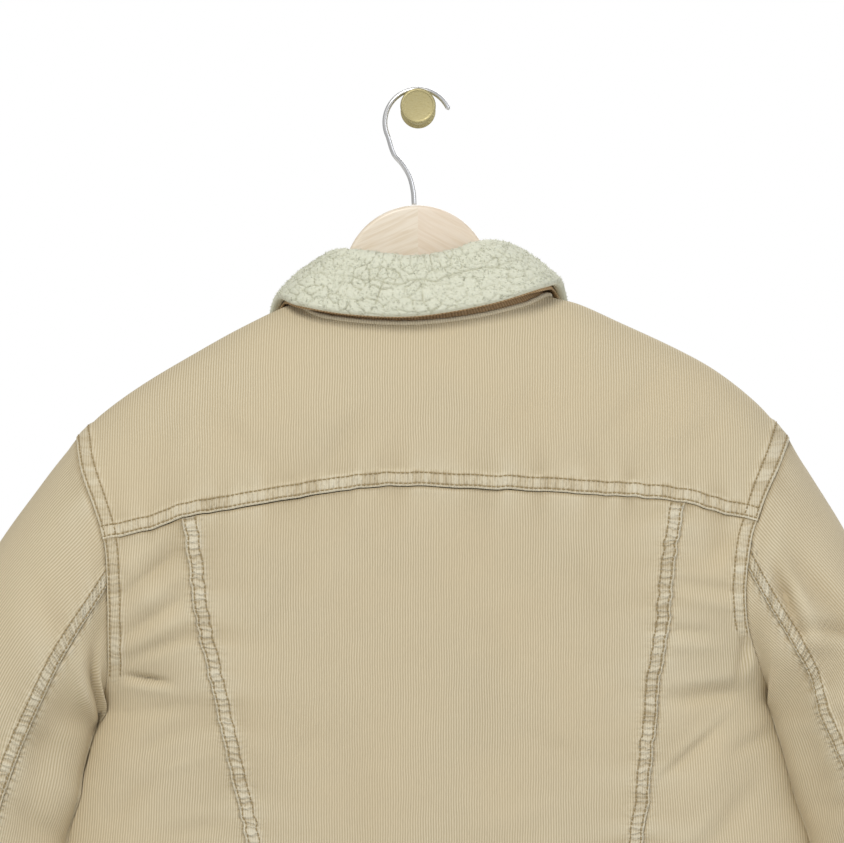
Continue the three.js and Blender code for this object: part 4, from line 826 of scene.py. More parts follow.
def makeFront(side):
    sign = sideSign[side]
    seed = 200 if side == "left" else 240
    tipZ = cut["tipZ"][side]
    tipX = float(armholeX["front"][side](tipZ))
    endRow = 0 if side == "left" else 12
    neckShare, collarEnd = 0.17, 0.86
    neckEnd = np.array([centreFront(-214) + sign * cut["seamGap"] / 2, -214])

    def outside(v):
        z = mix(tipZ, cut["waistTop"], np.asarray(v, float))
        return xzOf(np.where(z > armpit[side][1], armholeX["front"][side](z), flankX[side](z)), z)

    def inside(v):
        v = np.asarray(v, float)
        share = v / neckShare
        onNeck = neckAt(mix(sideRow[side], endRow, np.clip(share / collarEnd, 0, 1)))
        last = neckAt(np.array(float(endRow)))
        rest = mix(last, neckEnd, np.clip((share - collarEnd) / (1 - collarEnd), 0, 1)[..., None])
        z = mix(neckEnd[1], cut["waistTop"], np.clip((v - neckShare) / (1 - neckShare), 0, 1))
        centre = xzOf(centreFront(z) + sign * cut["seamGap"] / 2, z)
        return np.where((share < collarEnd)[..., None], onNeck, np.where((v < neckShare)[..., None], rest, centre))

    def shoulder(share):
        x = mix(tipX, collarAt[0](sideRow[side]), np.asarray(share, float))
        return xzOf(x, shoulderZ(x))

    def waist(share):
        x = mix(flankX[side](cut["waistTop"]), inside(np.array(1.0))[0], np.asarray(share, float))
        return xzOf(x, cut["waistTop"] + 0 * x)

    order = (lambda edge: edge) if side == "left" else (lambda edge: lambda u: edge(1 - np.asarray(u, float)))
    a, b = places(62, bandSteps, plainSteps, 1.25)
    if side == "right":
        a, b = (1 - a)[::-1], (-b)[::-1]
    near = side

    def form(x, z, d):
        onArmhole = smooth((z - armpit[side][1]) / 16)
        band, bandWearAndShade = bandForm(d[near], z, seed, 0.4)
        loose, looseWearAndShade = ripples(d["bottom"], x, seed + 7, 0.8, 22)
        # a front yoke seam lies across the chest, level with the second button
        seam = z + 318 + 0.02 * np.abs(x)
        yoke = np.where(seam >= 0, cut["bandRise"] * (1 - smooth((seam - 10) / 2.5)) - roll(seam), -0.2)
        groove = 0.3 * (np.exp(-((seam - 2) / 0.9) ** 2) + np.exp(-((seam - 9.5) / 0.9) ** 2))
        fine = lineNoise(x, 4.6, seed + 9) * np.where(seam >= 0, 1 - smooth((seam - 9) / 4), np.exp(seam / 9)) * 0.45
        flank = smooth((d[near] - 12) / 6)
        place, pucker = nearestSeam((d[near], z, 7, 0.5 * onArmhole), (np.abs(seam - 5) + 5, x, 8, 0.6 * flank),
                                    (d["bottom"], x, 9, 0.6))
        # the colour: pale wear along the chest seam's edge, painted shade in its two stitch grooves, and bands that
        # follow the fine ripples (partly wear, partly painted light and shade)
        return (np.maximum(band * onArmhole, (yoke - groove) * flank) + fine * flank + loose
                + clothWaves(x, z, seed + 11, 0.9) * smooth(d["top"] / 8),
                bandWearAndShade * onArmhole + looseWearAndShade + flank * (0.6 * np.exp(-((seam - 0.6) / 1.2) ** 2) - 2.0 * groove
                                                            + 0.5 * fine), place, pucker)

    edges = (outside, inside) if side == "left" else (inside, outside)
    outer, normals, d = bodyPiece(f"front_{side}", "front", (*edges, order(shoulder), order(waist)),
                                  (a, b), places(170), form)
    keep = outer[:, 0 if side == "left" else -1, 2] > armpit[side][1] + 6
    rows = [innerRow, outerRow] if side == "left" else [-1 - innerRow, -1 - outerRow]
    seamLines("front", outer, normals, rows, keep=keep)
    x, z = outer[..., 0], outer[..., 2]
    for offset in (2, 9.5):
        # the row where each column crosses the front yoke's stitch line
        level = -318 - 0.02 * np.abs(x) + offset
        row = np.abs(z - level).argmin(axis=0)
        columns = np.arange(len(row))
        keepRow = (d[near][row, columns] > 12)
        path = outer[row, columns]
        path[:, 2] = level[row, columns]
        face = bodyPoint(path[:, 0], path[:, 2], "front", 1.15)
        stitchAlong("front", face[keepRow], normals[row, columns][keepRow])


def makePlacket():
    topZ, bottomZ = -217, cut["waistTop"] + cut["seamGap"]
    half = cut["placketWide"] / 2

    def side(offset):
        def edge(v):
            z = mix(topZ, bottomZ, np.asarray(v, float))
            return xzOf(centreFront(z) + offset, z)
        return edge

    def end(z):
        return lambda u: xzOf(centreFront(z) + mix(-half, half, np.asarray(u, float)), z + 0 * np.asarray(u, float))

    steps = np.array([0, 0.4, 0.9, 1.5, 2.0, 2.6, 3.6])

    def form(x, z, d):
        edge = np.minimum(d["left"], d["right"])
        groove = 0.32 * np.exp(-((edge - 2) / 0.6) ** 2)
        fine = 0.6 * lineNoise(z, 4.1, 301) + 0.4 * lineNoise(z, 9.0, 302)
        band = np.exp(-((edge - 2) / 3.5) ** 2)
        place, pucker = nearestSeam((edge, z, 10, 0.5))
        # the colour: pale wear on the folded edges, painted shade in the stitch groove, and bands that follow the fine
        # ripples' height
        return (0.3 * fine * band - groove - roll(edge) - roll(np.minimum(d["top"], d["bottom"]), 1.5)
                + clothWaves(x, z, 303, 0.35),
                0.9 * np.exp(-(edge / 1.1) ** 2) - 1.0 * groove / 0.32 + 0.3 * band * fine,
                place, pucker * np.exp(-(edge / 5) ** 2))

    outer, normals, d = bodyPiece("front_placket", "front", (side(-half), side(half), end(topZ), end(bottomZ)),
                                  places(12, steps, steps), places(200), form, wall=cut["placketWall"],
                                  out=cut["seamGap"] + cut["placketWall"], lining=corduroyDeep)
    seamLines("front", outer, normals, [4, -5])


makeYoke()
makeCentre()
for side in ("left", "right"):
    makeSide(side)
    makeFront(side)
makePlacket()
print("body panels are laid")


def makeWaistband():
    overlap = cut["placketWide"] / 2
    centreX = float(centreFront(cut["waistTop"]))
    lapStart, lapFull = centreX - 62, centreX - overlap - 3
    quarter = np.pi / 2
    legs = [
        ("front", centreX - overlap, "right", 130, lambda s: np.sin(s * quarter)),
        ("back", "right", "left", 300, lambda s: (1 - np.cos(np.pi * s)) / 2),
        ("front", "left", centreX + overlap, 150, lambda s: 1 - np.cos(s * quarter)),
    ]
    steps = np.array([0, 0.4, 0.9, 1.5, 2.0, 2.6, 3.6])
    deep = cut["waistTop"] - cut["seamGap"] / 2 - cut["hemZ"]
    down = np.concatenate([steps, np.linspace(steps[-1], deep - steps[-1], 9)[1:-1], deep - steps[::-1]])
    outer, inner, outs = [], [], []
    for k, (face, start, end, count, ease) in enumerate(legs):
        s = ease(np.linspace(0, 1, count + 1)[(1 if k else 0):])
        z = np.repeat((cut["waistTop"] - cut["seamGap"] / 2 - down)[:, None], len(s), axis=1)
        ends = [flankX[e](z) if isinstance(e, str) else np.full(z.shape, e) for e in (start, end)]
        x = mix(ends[0], ends[1], s[None])
        over = smooth((x - lapStart) / (lapFull - lapStart)) if k == 2 else 0 * x
        lap = (cut["waistWall"] + 2 * cut["seamGap"]) * over
        out = bodyNormal(x, z, face)
        out[..., 2] = 0
        out = unit(out)
        surface = bodyPoint(x, z, face)
        outer.append(surface + out * (cut["bandRise"] + lap)[..., None])
        inner.append(surface + out * (cut["bandRise"] + lap - cut["waistWall"])[..., None])
        outs.append(out)
    outer, inner, outs = (np.concatenate(part, axis=1) for part in (outer, inner, outs))
    along = lengthAlong(outer[3])[None]
    d = down[:, None] + 0 * along
    edge = np.minimum(d, deep - d)
    groove = 0.32 * np.exp(-((edge - 2) / 0.6) ** 2)
    fine = 0.6 * lineNoise(along, 4.3, 401) + 0.4 * lineNoise(along, 10, 402)
    near = np.exp(-((edge - 2) / 4.5) ** 2)
    ends = np.minimum(along, along[0, -1] - along)
    lift = (0.4 * fine * near - groove - roll(edge, 1.2) - roll(ends, 1.2) + 0.5 * patchNoise(along, d, 26, 403))
    # pale wear on both folded edges and painted shade in the stitch grooves
    wearAndShade = 0.9 * np.exp(-(edge / 1.2) ** 2) - groove / 0.32 + 0.35 * near * fine
    outer = outer + outs * lift[..., None]
    # the wales of the waistband run round the hem
    place, pucker = nearestSeam((edge, along, 11, 0.7))
    putCloth("waistband", outer, inner, np.stack([d, along + 0 * d], axis=-1), wearAndShade, place,
             pucker * np.exp(-(edge / 7) ** 2), corduroyDeep)
    seamLines("front", outer, outs, [4, -5], columns=False)


makeWaistband()


# columns at x z tilt wide deep: a section's centre, tilt from upright, half width and half depth
sleeveRows = {
    "left": np.array([
        (0, -262, -375, 36, 60, 56), (1, -288.4, -415, 31, 60, 58), (2, -305, -459, 27, 62, 57),
        (3, -323.6, -532, 24, 62, 56), (4, -359, -620, 20.5, 61, 55), (5, -390, -710, 17.5, 58, 51),
        (6, -411, -780, 15.5, 52, 45), (7, -415.5, -796, 15, 49, 42),
    ]),
    "right": np.array([
        (0, 285, -372, 34, 52, 58), (1, 306, -413, 29, 52, 61), (2, 325, -467, 25, 54, 60),
        (3, 345, -536, 22, 56, 58), (4, 376.5, -625, 19, 57, 56), (5, 404, -716, 16.5, 55, 52),
        (6, 423, -786, 15, 50, 45), (7, 427, -802, 15, 47.5, 42),
    ]),
}
sleeveAt = {side: [curveThrough(list(zip(rows[:, 0], rows[:, k]))) for k in range(1, 6)]
            for side, rows in sleeveRows.items()}
frontSeam = 248
backSeam = {
    "left": curveThrough([(0, 98), (0.5, 107), (1, 114), (2, 111), (3, 104), (4, 100), (5, 98), (6, 96), (7, 96)]),
    "right": curveThrough([(0, 90), (0.5, 108), (1, 122), (2, 116), (3, 107), (4, 101), (5, 98), (6, 96), (7, 96)]),
}
sleeveSwell = {"left": 4, "right": 0.5}
# folds across a sleeve: place along and round it, half widths along and round, height, and slant (how far the
# fold climbs along the sleeve for each degree round it)
sleeveFolds = {
    "left": [
        (0.9, 150, 0.25, 22, -5, 0), (1.6, 128, 0.7, 12, -4, 0), (3.6, 170, 0.16, 60, -5, 0),
        (0.42, 146, 0.075, 24, -7, 0.009), (0.28, 150, 0.08, 24, 3, 0.009), (0.6, 140, 0.09, 24, 3.5, 0.009),
        (4.05, 185, 0.14, 50, 4, 0), (5.6, 60, 0.2, 70, 3.5, 0), (6.15, 110, 0.14, 60, -3, 0),
        (5.5, 240, 0.2, 60, 3.5, 0), (2.5, 140, 0.12, 30, -2.2, 0.004), (2.9, 120, 0.12, 36, 2.0, 0.004),
        (3.2, 80, 0.14, 50, -2.2, -0.004), (4.6, 120, 0.12, 50, -2.4, 0.003), (5.1, 60, 0.13, 50, -2.4, 0.003),
        (0.75, 60, 0.16, 34, -1.6, 0.006), (1.2, 35, 0.2, 40, 1.4, 0.006), (5.9, 30, 0.12, 60, -2.2, 0),
        (6.5, 80, 0.1, 80, 2.4, 0), (3.9, 280, 0.13, 50, -2.5, 0.002), (4.5, 300, 0.13, 50, 2.2, 0),
        (2.2, 300, 0.16, 40, -2.0, 0.004), (6.2, 300, 0.12, 60, -2.4, 0), (2.1, 165, 0.2, 26, 2.2, 0),
    ],
    "right": [
        (0.75, 100, 0.16, 26, -6, 0), (1.15, 80, 0.14, 40, 3.5, 0), (1.7, 140, 0.5, 12, -4, 0),
        (3.5, 165, 0.16, 60, -5, 0), (3.95, 180, 0.14, 55, 4, 0), (5.6, 90, 0.2, 70, 3.5, 0),
        (6.15, 150, 0.14, 60, -3, 0), (5.4, 260, 0.2, 60, 3, 0), (0.5, 66, 0.3, 9, -6, -0.004),
        (0.33, 86, 0.075, 15, -6.5, 0.0152), (0.42, 78, 0.1, 15, 3, 0.0152), (0.66, 76, 0.055, 22, -6, -0.008),
        (0.8, 72, 0.08, 24, 3, -0.008), (2.3, 120, 0.13, 30, -2.4, -0.004), (2.6, 90, 0.12, 36, 2.0, -0.004),
        (3.0, 60, 0.14, 50, -2.0, 0.004), (4.7, 110, 0.12, 50, -2.4, -0.003), (5.0, 50, 0.13, 50, -2.2, 0.003),
        (6.0, 40, 0.12, 60, -2.2, 0), (6.5, 100, 0.1, 80, 2.4, 0), (4.0, 290, 0.13, 50, -2.5, 0.002),
        (4.5, 310, 0.13, 50, 2.2, 0), (2.2, 300, 0.16, 40, -2.0, 0.004), (6.2, 300, 0.12, 60, -2.4, 0),
    ],
}


def armholeLoop(side):
    # the armhole's edge as one loop of equal lengths: 0 at the shoulder, 180 at the underarm, the back first
    halves = []
    for face in ("back", "front"):
        z = mix(cut["tipZ"][side], armpit[side][1], (1 - np.cos(np.linspace(0, np.pi, 361))) / 2)
        x = armholeX[face][side](z)
        points = bodyPoint(x, z, face)
        length = lengthAlong(points)
        halves.append((points, bodyNormal(x, z, face), length / length[-1]))

    def at(angle):
        angle = np.mod(angle, 360)
        result = []
        for which in (0, 1):
            back, front = (np.stack([np.interp(share, half[2], half[which][:, k]) for k in range(3)], axis=-1)
                           for half, share in zip(halves, (np.clip(angle / 180, 0, 1),
                                                           np.clip((360 - angle) / 180, 0, 1))))
            result.append(np.where((angle <= 180)[..., None], back, front))
        return result
    return at


def sleeveSection(side, at):
    x, z, tilt, wide, deep = (line(at) for line in sleeveAt[side])
    tilt = np.radians(tilt)
    centre = np.stack([x, cut["hangY"] + 0 * x, z], axis=-1)
    outward = np.stack([sideSign[side] * np.cos(tilt), 0 * x, np.sin(tilt)], axis=-1)
    down = np.stack([sideSign[side] * np.sin(tilt), 0 * x, -np.cos(tilt)], axis=-1)
    return centre, outward, down, wide, deep


def sleeveEllipse(side, at, angle, more=0.0):
    centre, outward, _, wide, deep = sleeveSection(side, at)
    a = np.radians(angle)
    level = np.array([0, -1.0, 0])
    return (centre + outward * ((wide + more) * np.cos(a))[..., None]
            + level * ((deep + more) * np.sin(a))[..., None])


def sleeveSurface(side, at, angle):
    # sections from the biceps down; above it a Hermite curve from the armhole's edge that meets the tube smoothly
    tube = sleeveEllipse(side, np.maximum(at, 1), angle)
    start = armholeLoop(side)(angle)[0]
    end = sleeveEllipse(side, np.ones_like(at), angle)
    span = np.linalg.norm(end - start, axis=-1, keepdims=True)
    leave = unit(sleeveEllipse(side, np.full_like(at, 1.05), angle) - end) * span
    chord = end - start
    s = np.clip(at, 0, 1)[..., None]
    swell = sleeveSwell[side] * np.sin(np.pi * np.clip(at, 0, 1)) * np.maximum(0, np.cos(np.radians(angle)))
    outward = sleeveSection(side, np.ones_like(at))[1]
    cap = ((2 * s ** 3 - 3 * s ** 2 + 1) * start + (s ** 3 - 2 * s ** 2 + s) * chord
           + (3 * s ** 2 - 2 * s ** 3) * end + (s ** 3 - s ** 2) * leave + outward * swell[..., None])
    return np.where((at >= 1)[..., None], tube, cap)


def sleeveRelief(side, at, angle):
    total = 0 * at
    for foldAt, foldAngle, long, roundAt, high, slant in sleeveFolds[side]:
        turn = np.mod(angle - foldAngle + 180, 360) - 180
        total = total + high * np.exp(-((at - foldAt - slant * turn) / long) ** 2 - (turn / roundAt) ** 2)
    return total * smooth(at / 0.35) * smooth((7 - at) / 0.5)


def leanOnBody(side, at, angle):
    # how far the sleeve's inner face bulges towards the body: it fills the gap to the flank on the far side
    edge = sleeveEllipse(side, np.maximum(at, 1), 180 + 0 * at)
    gap = (edge[..., 0] - flankX[side](edge[..., 2])) * sideSign[side]
    push = np.clip(gap + 4, 0, 34) * smooth((at - 0.12) / 0.35) * smooth((5.2 - at) / 1.6)
    return push * np.exp(-((np.mod(angle, 360) - 183) / 42) ** 4)


def clearOfBody(points, room=1.2):
    # points that would run into the body are moved out of it, to the near or far side
    x, y, z = points[..., 0], points[..., 1] - cut["hangY"], points[..., 2]
    face = np.where(y >= 0, bodyDepth(x, z, "front"), bodyDepth(x, z, "back"))
    room = room * smooth((-424 - z) / 14)
    inside = (face > 0) & (np.abs(y) < face + room) & (z < -424)
    moved = points.copy()
    moved[..., 1] = np.where(inside, cut["hangY"] + np.where(y >= 0, 1, -1) * (face + room), points[..., 1])
    return moved


def makeSleeve(side, part):
    seed = (500 if side == "left" else 560) + (0 if part == "top" else 30)
    at = np.concatenate([np.linspace(0, 1, 34)[:-1], np.linspace(1, 7, 170)])
    seam = backSeam[side](at)
    radius = 58.0
    degree = lambda length: np.degrees(length / radius)
    if part == "top":
        first, last = seam - degree(0.1), np.full(at.shape, frontSeam - 360 + degree(0.1))
        low, high, count = bandSteps, plainSteps, 76
    else:
        first, last = seam + degree(0.1), np.full(at.shape, frontSeam - degree(0.1))
        low, high, count = plainSteps, plainSteps, 46
    wide = np.abs(last - first) * np.pi / 180 * radius
    a, b = places(count, low, high)
    share = a[None] + b[None] / wide[:, None]
    angle = mix(first[:, None], last[:, None], share)
    at = np.repeat(at[:, None], angle.shape[1], axis=1)
    base = sleeveSurface(side, at, angle)
    centre = sleeveSection(side, np.maximum(at, 1))[0]
    normals = gridNormals(base, base - centre)
    along = lengthAlong(base[:, 20])[:, None] + 0 * at
    dSeam, dFront = share * wide[:, None], (1 - share) * wide[:, None]
    seedSeam = 500 if side == "left" else 560
    if part == "top":
        band, wearAndShade = bandForm(dSeam, along, seedSeam, 0.7)
        loose, looseWearAndShade = ripples(dSeam - 11, along, seedSeam, 1.0, 20)
    else:
        # under sleeve: a painted shadow along the back seam, under the top sleeve's lapped band
        band, wearAndShade = -0.3 * np.exp(-(dSeam / 1.5) ** 2), -0.9 * np.exp(-(dSeam / 1.3) ** 2)
        loose, looseWearAndShade = ripples(dSeam, along, seedSeam, 1.2, 22)
    frontSide, frontWearAndShade = ripples(dFront, along, seedSeam + 9, 0.7, 14)
    atHole, holeWearAndShade = ripples(along, angle, seedSeam + 15, 0.9, 16)
    lift = (band + loose + frontSide + atHole + clothWaves(along, angle * 1.01, seed + 3, 0.9)
            * smooth(along / 8) - 0.5 * np.exp(-(dFront / 0.8) ** 2))
    relief = sleeveRelief(side, at, angle)
    nearEnd = smooth(along / 3)
    room = (base[..., 0] - flankX[side](np.minimum(base[..., 2], armpit[side][1]))) * sideSign[side]
    inward = -sideSign[side] * np.minimum(leanOnBody(side, at, angle), np.maximum(room + 3, 0))
    base = base + np.stack([inward, 0 * inward, 0 * inward], axis=-1)
    outer = clearOfBody(base + normals * (relief + lift * nearEnd)[..., None])
    inner = outer - normals * (cut["sleeveWall"] + 0.4)
    # painted shadow at the armhole seam; the folds' height also tints the colour, paler ridges (partly wear, partly
    # painted light) and painted shade in the troughs
    shadow = -0.8 * np.exp(-(along / 1.4) ** 2)
    wearAndShadeAll = np.clip(wearAndShade + looseWearAndShade + frontWearAndShade + holeWearAndShade + shadow + 0.05 * relief, -1, 1)
    offset = 0 if part == "top" else 6
    seam, pucker = nearestSeam((dSeam + offset, along, 12, 1.0), (dFront + 8, along, 13, 0.8),
                               (along + 9, angle, 14, 0.35))
    name = f"sleeve_{part}_{side}"
    putCloth(name, outer, inner, np.stack([angle * np.pi / 180 * radius, along], axis=-1), wearAndShadeAll, seam, pucker,
             quiltLining)
    if part == "top":
        seamLines("sleeves", outer, gridNormals(outer, normals), [innerRow, outerRow])


def makeCuff(side):
    start = float(backSeam[side](7))
    steps = np.array([0, 0.4, 0.9, 1.5, 2.0, 2.6, 3.6])
    deep = cut["cuffDeep"]
    down = np.concatenate([steps, np.linspace(steps[-1], deep - steps[-1], 10)[1:-1], deep - steps[::-1]])
    turn = np.linspace(0, 388, 190)
    share = (down / deep)[:, None] + 0 * turn[None]
    turns = turn[None] + 0 * share
    lap = (cut["cuffWall"] + 2 * cut["seamGap"]) * smooth((turns - 318) / 36)
    at = np.full(turns.shape, 7.0)
    _, outward, along, _, _ = sleeveSection(side, at)
    slide = along * (1.5 * cut["seamGap"] + share * deep)[..., None]
    place = lambda more: sleeveEllipse(side, at, start - turns, more - 3 * share) + slide
    edge = np.minimum(down, deep - down)[:, None] + 0 * turns
    length = turns * np.pi / 180 * 46
    edge = np.minimum(edge, np.where(turns > 194, length.max() - length, 99))
    groove = 0.32 * np.exp(-((edge - 2) / 0.6) ** 2)
    fine = 0.6 * lineNoise(length, 4.3, 601) + 0.4 * lineNoise(length, 10, 602)
    near = np.exp(-((edge - 2) / 4.5) ** 2)
    lift = 0.4 * fine * near - groove - roll(edge, 1.2) + 0.6 * patchNoise(length, down[:, None] + 0 * length, 22, 603)
    # pale wear on the edges and painted shade in the stitch grooves
    wearAndShade = 0.9 * np.exp(-(edge / 1.2) ** 2) - groove / 0.32 + 0.35 * near * fine
    outer = place(cut["bandRise"] + lap + lift)
    inner = place(cut["bandRise"] + lap - cut["cuffWall"])
    normals = gridNormals(outer, outer - sleeveSection(side, at)[0])
    sewnAt, pucker = nearestSeam((edge, length, 15, 0.7))
    putCloth(f"cuff_{side}", outer, inner, np.stack([down[:, None] + 0 * length, length], axis=-1), wearAndShade, sewnAt,
             pucker * np.exp(-(edge / 7) ** 2), corduroyDeep)
    seamLines("sleeves", outer, normals, [4, -5], columns=False)


for side in ("left", "right"):
    makeSleeve(side, "top")
    makeSleeve(side, "under")
    makeCuff(side)
print("sleeves are set")


def collarMiddle(rows, columns):
    # middle surface of the folded collar: up the stand, over the fold and down the fall
    at = np.linspace(0, 12, rows)
    seamX, seamZ, foldX, foldY, foldZ, edgeX, edgeY, edgeZ = (line(at) for line in collarAt)
    onFront = (at < 3) | (at > 9)
    body = np.where(onFront[:, None], bodyPoint(seamX, seamZ, "front", -1.0 + 0 * at),
                    bodyPoint(seamX, seamZ, "back", -1.0 + 0 * at))
    fold = np.stack([foldX, cut["hangY"] + foldY, foldZ], axis=-1)
    edge = np.stack([edgeX, cut["hangY"] + edgeY, edgeZ], axis=-1)
    rise = unit(fold - body)
    forward = np.maximum(0, np.maximum(3 - at, at - 9)) / 3
    seam = body + rise * (cut["seamGap"] * mix(5, 15, forward))[:, None]
    foldLine = lambda t: np.stack([collarAt[k](t) for k in (2, 3, 4)], axis=-1)
    outward = unit(np.cross(foldLine(at + 0.1) - foldLine(at - 0.1), rise))
    foldIn, foldOut = fold - outward * 3.5, fold + outward * 3.5
    keys = np.stack([seam, mix(seam, foldIn, 0.5), foldIn, fold + rise * 3.5, foldOut,
                     mix(foldOut, edge, 0.5) + outward * 2.5, edge], axis=1)
    slope = np.gradient(keys, axis=1)
    slope[:, 0], slope[:, -1] = keys[:, 1] - keys[:, 0], keys[:, -1] - keys[:, -2]
    place = np.linspace(0, 6, 241)
    k = np.clip(np.floor(place).astype(int), 0, 5)
    s = (place - k)[None, :, None]
    riseS = s * s * (3 - 2 * s)
    fine = (keys[:, k] * (1 - riseS) + keys[:, k + 1] * riseS + slope[:, k] * s * (1 - s) ** 2
            - slope[:, k + 1] * s * s * (1 - s))
    # even steps of length across the strip
    length = np.concatenate([np.zeros((rows, 1)), np.cumsum(np.linalg.norm(np.diff(fine, axis=1), axis=-1), axis=1)],
                            axis=1)
    want = np.linspace(0, 1, columns)
    grid = np.stack([np.stack([np.interp(want * length[r, -1], length[r], fine[r, :, c]) for c in range(3)], axis=-1)
                     for r in range(rows)])
    across = want[None] * length[:, -1:]
    crest = lengthAlong(fold)
    middle = rows // 2
    normals = unit(np.cross(np.gradient(grid, axis=1), np.gradient(grid, axis=0)))
    if (normals[middle, -1] * outward[middle]).sum() < 0:
        normals = -normals
    return grid, normals, across, (crest[:, None] + 0 * across) * 1.12


def clumps(u, v, size, seed):
    # distances to the nearest and second nearest of points jittered in a square lattice
    spots = np.random.default_rng(seed).uniform(0.08, 0.92, (64, 64, 2))
    a, b = u / size, v / size
    a0, b0 = np.floor(a).astype(int), np.floor(b).astype(int)
    near, second = np.full(u.shape, 9.0), np.full(u.shape, 9.0)
    for i in (-1, 0, 1):
        for j in (-1, 0, 1):
            spot = spots[(a0 + i) & 63, (b0 + j) & 63]
            d = np.hypot(a0 + i + spot[..., 0] - a, b0 + j + spot[..., 1] - b)
            second = np.minimum(second, np.maximum(near, d))
            near = np.minimum(near, d)
    return near * size, second * size


sherpa = {"clump": 6.6, "high": 1.0, "curl": 2.2, "crack": 0.85, "stretch": 1.3}


def makeCollar():
    grid, normals, across, roundAt = collarMiddle(430, 112)
    u = roundAt + 1.6 * patchNoise(roundAt, across, 7, 701)
    v = across + 1.6 * patchNoise(roundAt, across, 7, 702)
    near, second = clumps(u, v / sherpa["stretch"], sherpa["clump"], 703)
    closed = smooth(0.5 + 1.6 * patchNoise(roundAt, across, 13, 707))  # where the mats have grown together
    crack = mix(smooth((second - near) / sherpa["crack"]), 1, 0.5 * closed)
    # one long crack runs level across the middle of the fall
    level = across - mix(across[:, -1:], across[:, -1:] / 2, 0.56) - 2.2 * lineNoise(roundAt, 7.5, 706)
    long = np.exp(-((roundAt - 1.03 * roundAt[-1:] / 2) / 62) ** 4)
    crack = crack * (1 - 0.95 * long * np.exp(-(level / 0.6) ** 2))
    dome = 1 - np.clip(near / (0.95 * sherpa["clump"]), 0, 1) ** 3
    nearCurl, secondCurl = clumps(u + 2, v + 3, sherpa["curl"], 704)
    curl = smooth((secondCurl - nearCurl) / 0.9)
    pile = sherpa["high"] * (0.7 * crack + 0.3 * dome * crack) + 0.3 * curl * crack
    pile = pile + 0.8 * patchNoise(u, v, 17, 705)
    ends = np.minimum(np.minimum(across, across[:, -1:] - across), np.minimum(roundAt, roundAt[-1:] - roundAt))
    edge = smooth(ends / 1.8)
    mid = grid + normals * 5.0
    half = np.sqrt(np.clip(1 - (1 - np.clip(ends / 3.4, 0, 1)) ** 2, 0.02, 1))
    outer = mid + normals * (3.4 * half + (pile - 1.0) * (0.5 + 0.5 * edge))[..., None]
    inner = mid - normals * (3.4 * half)[..., None]
    points, faces, pick = shell(outer, inner)
    uvOuter = np.stack([roundAt, across], axis=-1).reshape(-1, 2)
    # painted shade: the cracks between clumps, and a little between the curls, are darkened in the colour
    depth = np.clip(0.2 + 0.8 * crack - 0.05 * (1 - curl), 0, 1)
    putMesh("collar_sherpa", points, faces, [sherpaPile], np.concatenate([uvOuter, uvOuter[pick]]),
            np.concatenate([depth.ravel(), np.full(len(pick), 0.8)]), slots=[0, 0, 0],
            replaces=["collar_upper"], flat=cutOf(mid))
    addPile(outer, gridNormals(outer, normals), crack, ends)

    grid, normals, across, roundAt = collarMiddle(240, 52)
    ends = np.minimum(np.minimum(across, across[:, -1:] - across), np.minimum(roundAt, roundAt[-1:] - roundAt))
    half = 1.0 * np.sqrt(np.clip(1 - (1 - np.clip(ends / 1.2, 0, 1)) ** 2, 0.05, 1))
    face = grid - normals * (half + 0.25 * lineNoise(roundAt, 4.2, 711) * np.exp(-ends / 6))[..., None]
    back = grid + normals * half[..., None]
    # the wales stand across the collar
    wearAndShade = 0.9 * np.exp(-(ends / 1.2) ** 2) - 0.15
    place, pucker = nearestSeam((ends, roundAt, 16, 0.3))
    points, faces, pick = shell(face, back)
    uv = np.stack([roundAt, across], axis=-1).reshape(-1, 2)
    seam = place.reshape(-1, 2)
    putMesh("collar_under_cloth", points, faces, [corduroyWarm], np.concatenate([uv, uv[pick]]),
            np.concatenate([wearAndShade.ravel(), np.zeros(len(pick))]), slots=[0, 0, 0], replaces=["collar_under"],
            flat=cutOf(grid), seam=np.concatenate([seam, seam[pick]]),
            pucker=np.concatenate([pucker.ravel(), np.zeros(len(pick))]))
    makePiping()


def makePiping():
    # the neck seam: the yoke's folded edge stands up along the collar as a narrow rounded piping
    at = np.linspace(0.02, 11.98, 620)
    onFront = (at < 3) | (at > 9)
    x, z = collarAt[0](at), collarAt[1](at)
    lay = lambda out: np.where(onFront[:, None], bodyPoint(x, z, "front", out + 0 * at),
                               bodyPoint(x, z, "back", out + 0 * at))
    path = lay(0.9)
    up = unit(lay(2.0) - path)
    along = unit(np.gradient(path, axis=0))
    side = np.cross(along, up)
    ring = np.linspace(0, 2 * np.pi, 12, endpoint=False)
    length = lengthAlong(path)
    radius = (1.75 + 0.16 * lineNoise(length, 4.4, 731))[:, None, None]
    grid = path[:, None] + radius * (side[:, None] * np.cos(ring)[None, :, None]
                                     + up[:, None] * np.sin(ring)[None, :, None])
    ends = np.stack([np.arange(12)[::-1], 619 * 12 + np.arange(12)])
    uv = np.stack([np.broadcast_to(length[:, None], grid.shape[:2]),
                   np.broadcast_to(ring * 1.75, grid.shape[:2])], axis=-1).reshape(-1, 2)
    putMesh("neck_piping", grid.reshape(-1, 3), [gridFaces(620, 12, wrap=True), ends], [corduroy], uv,
            np.full(len(uv), 0.3), seam=uv, pucker=np.zeros(len(uv)))


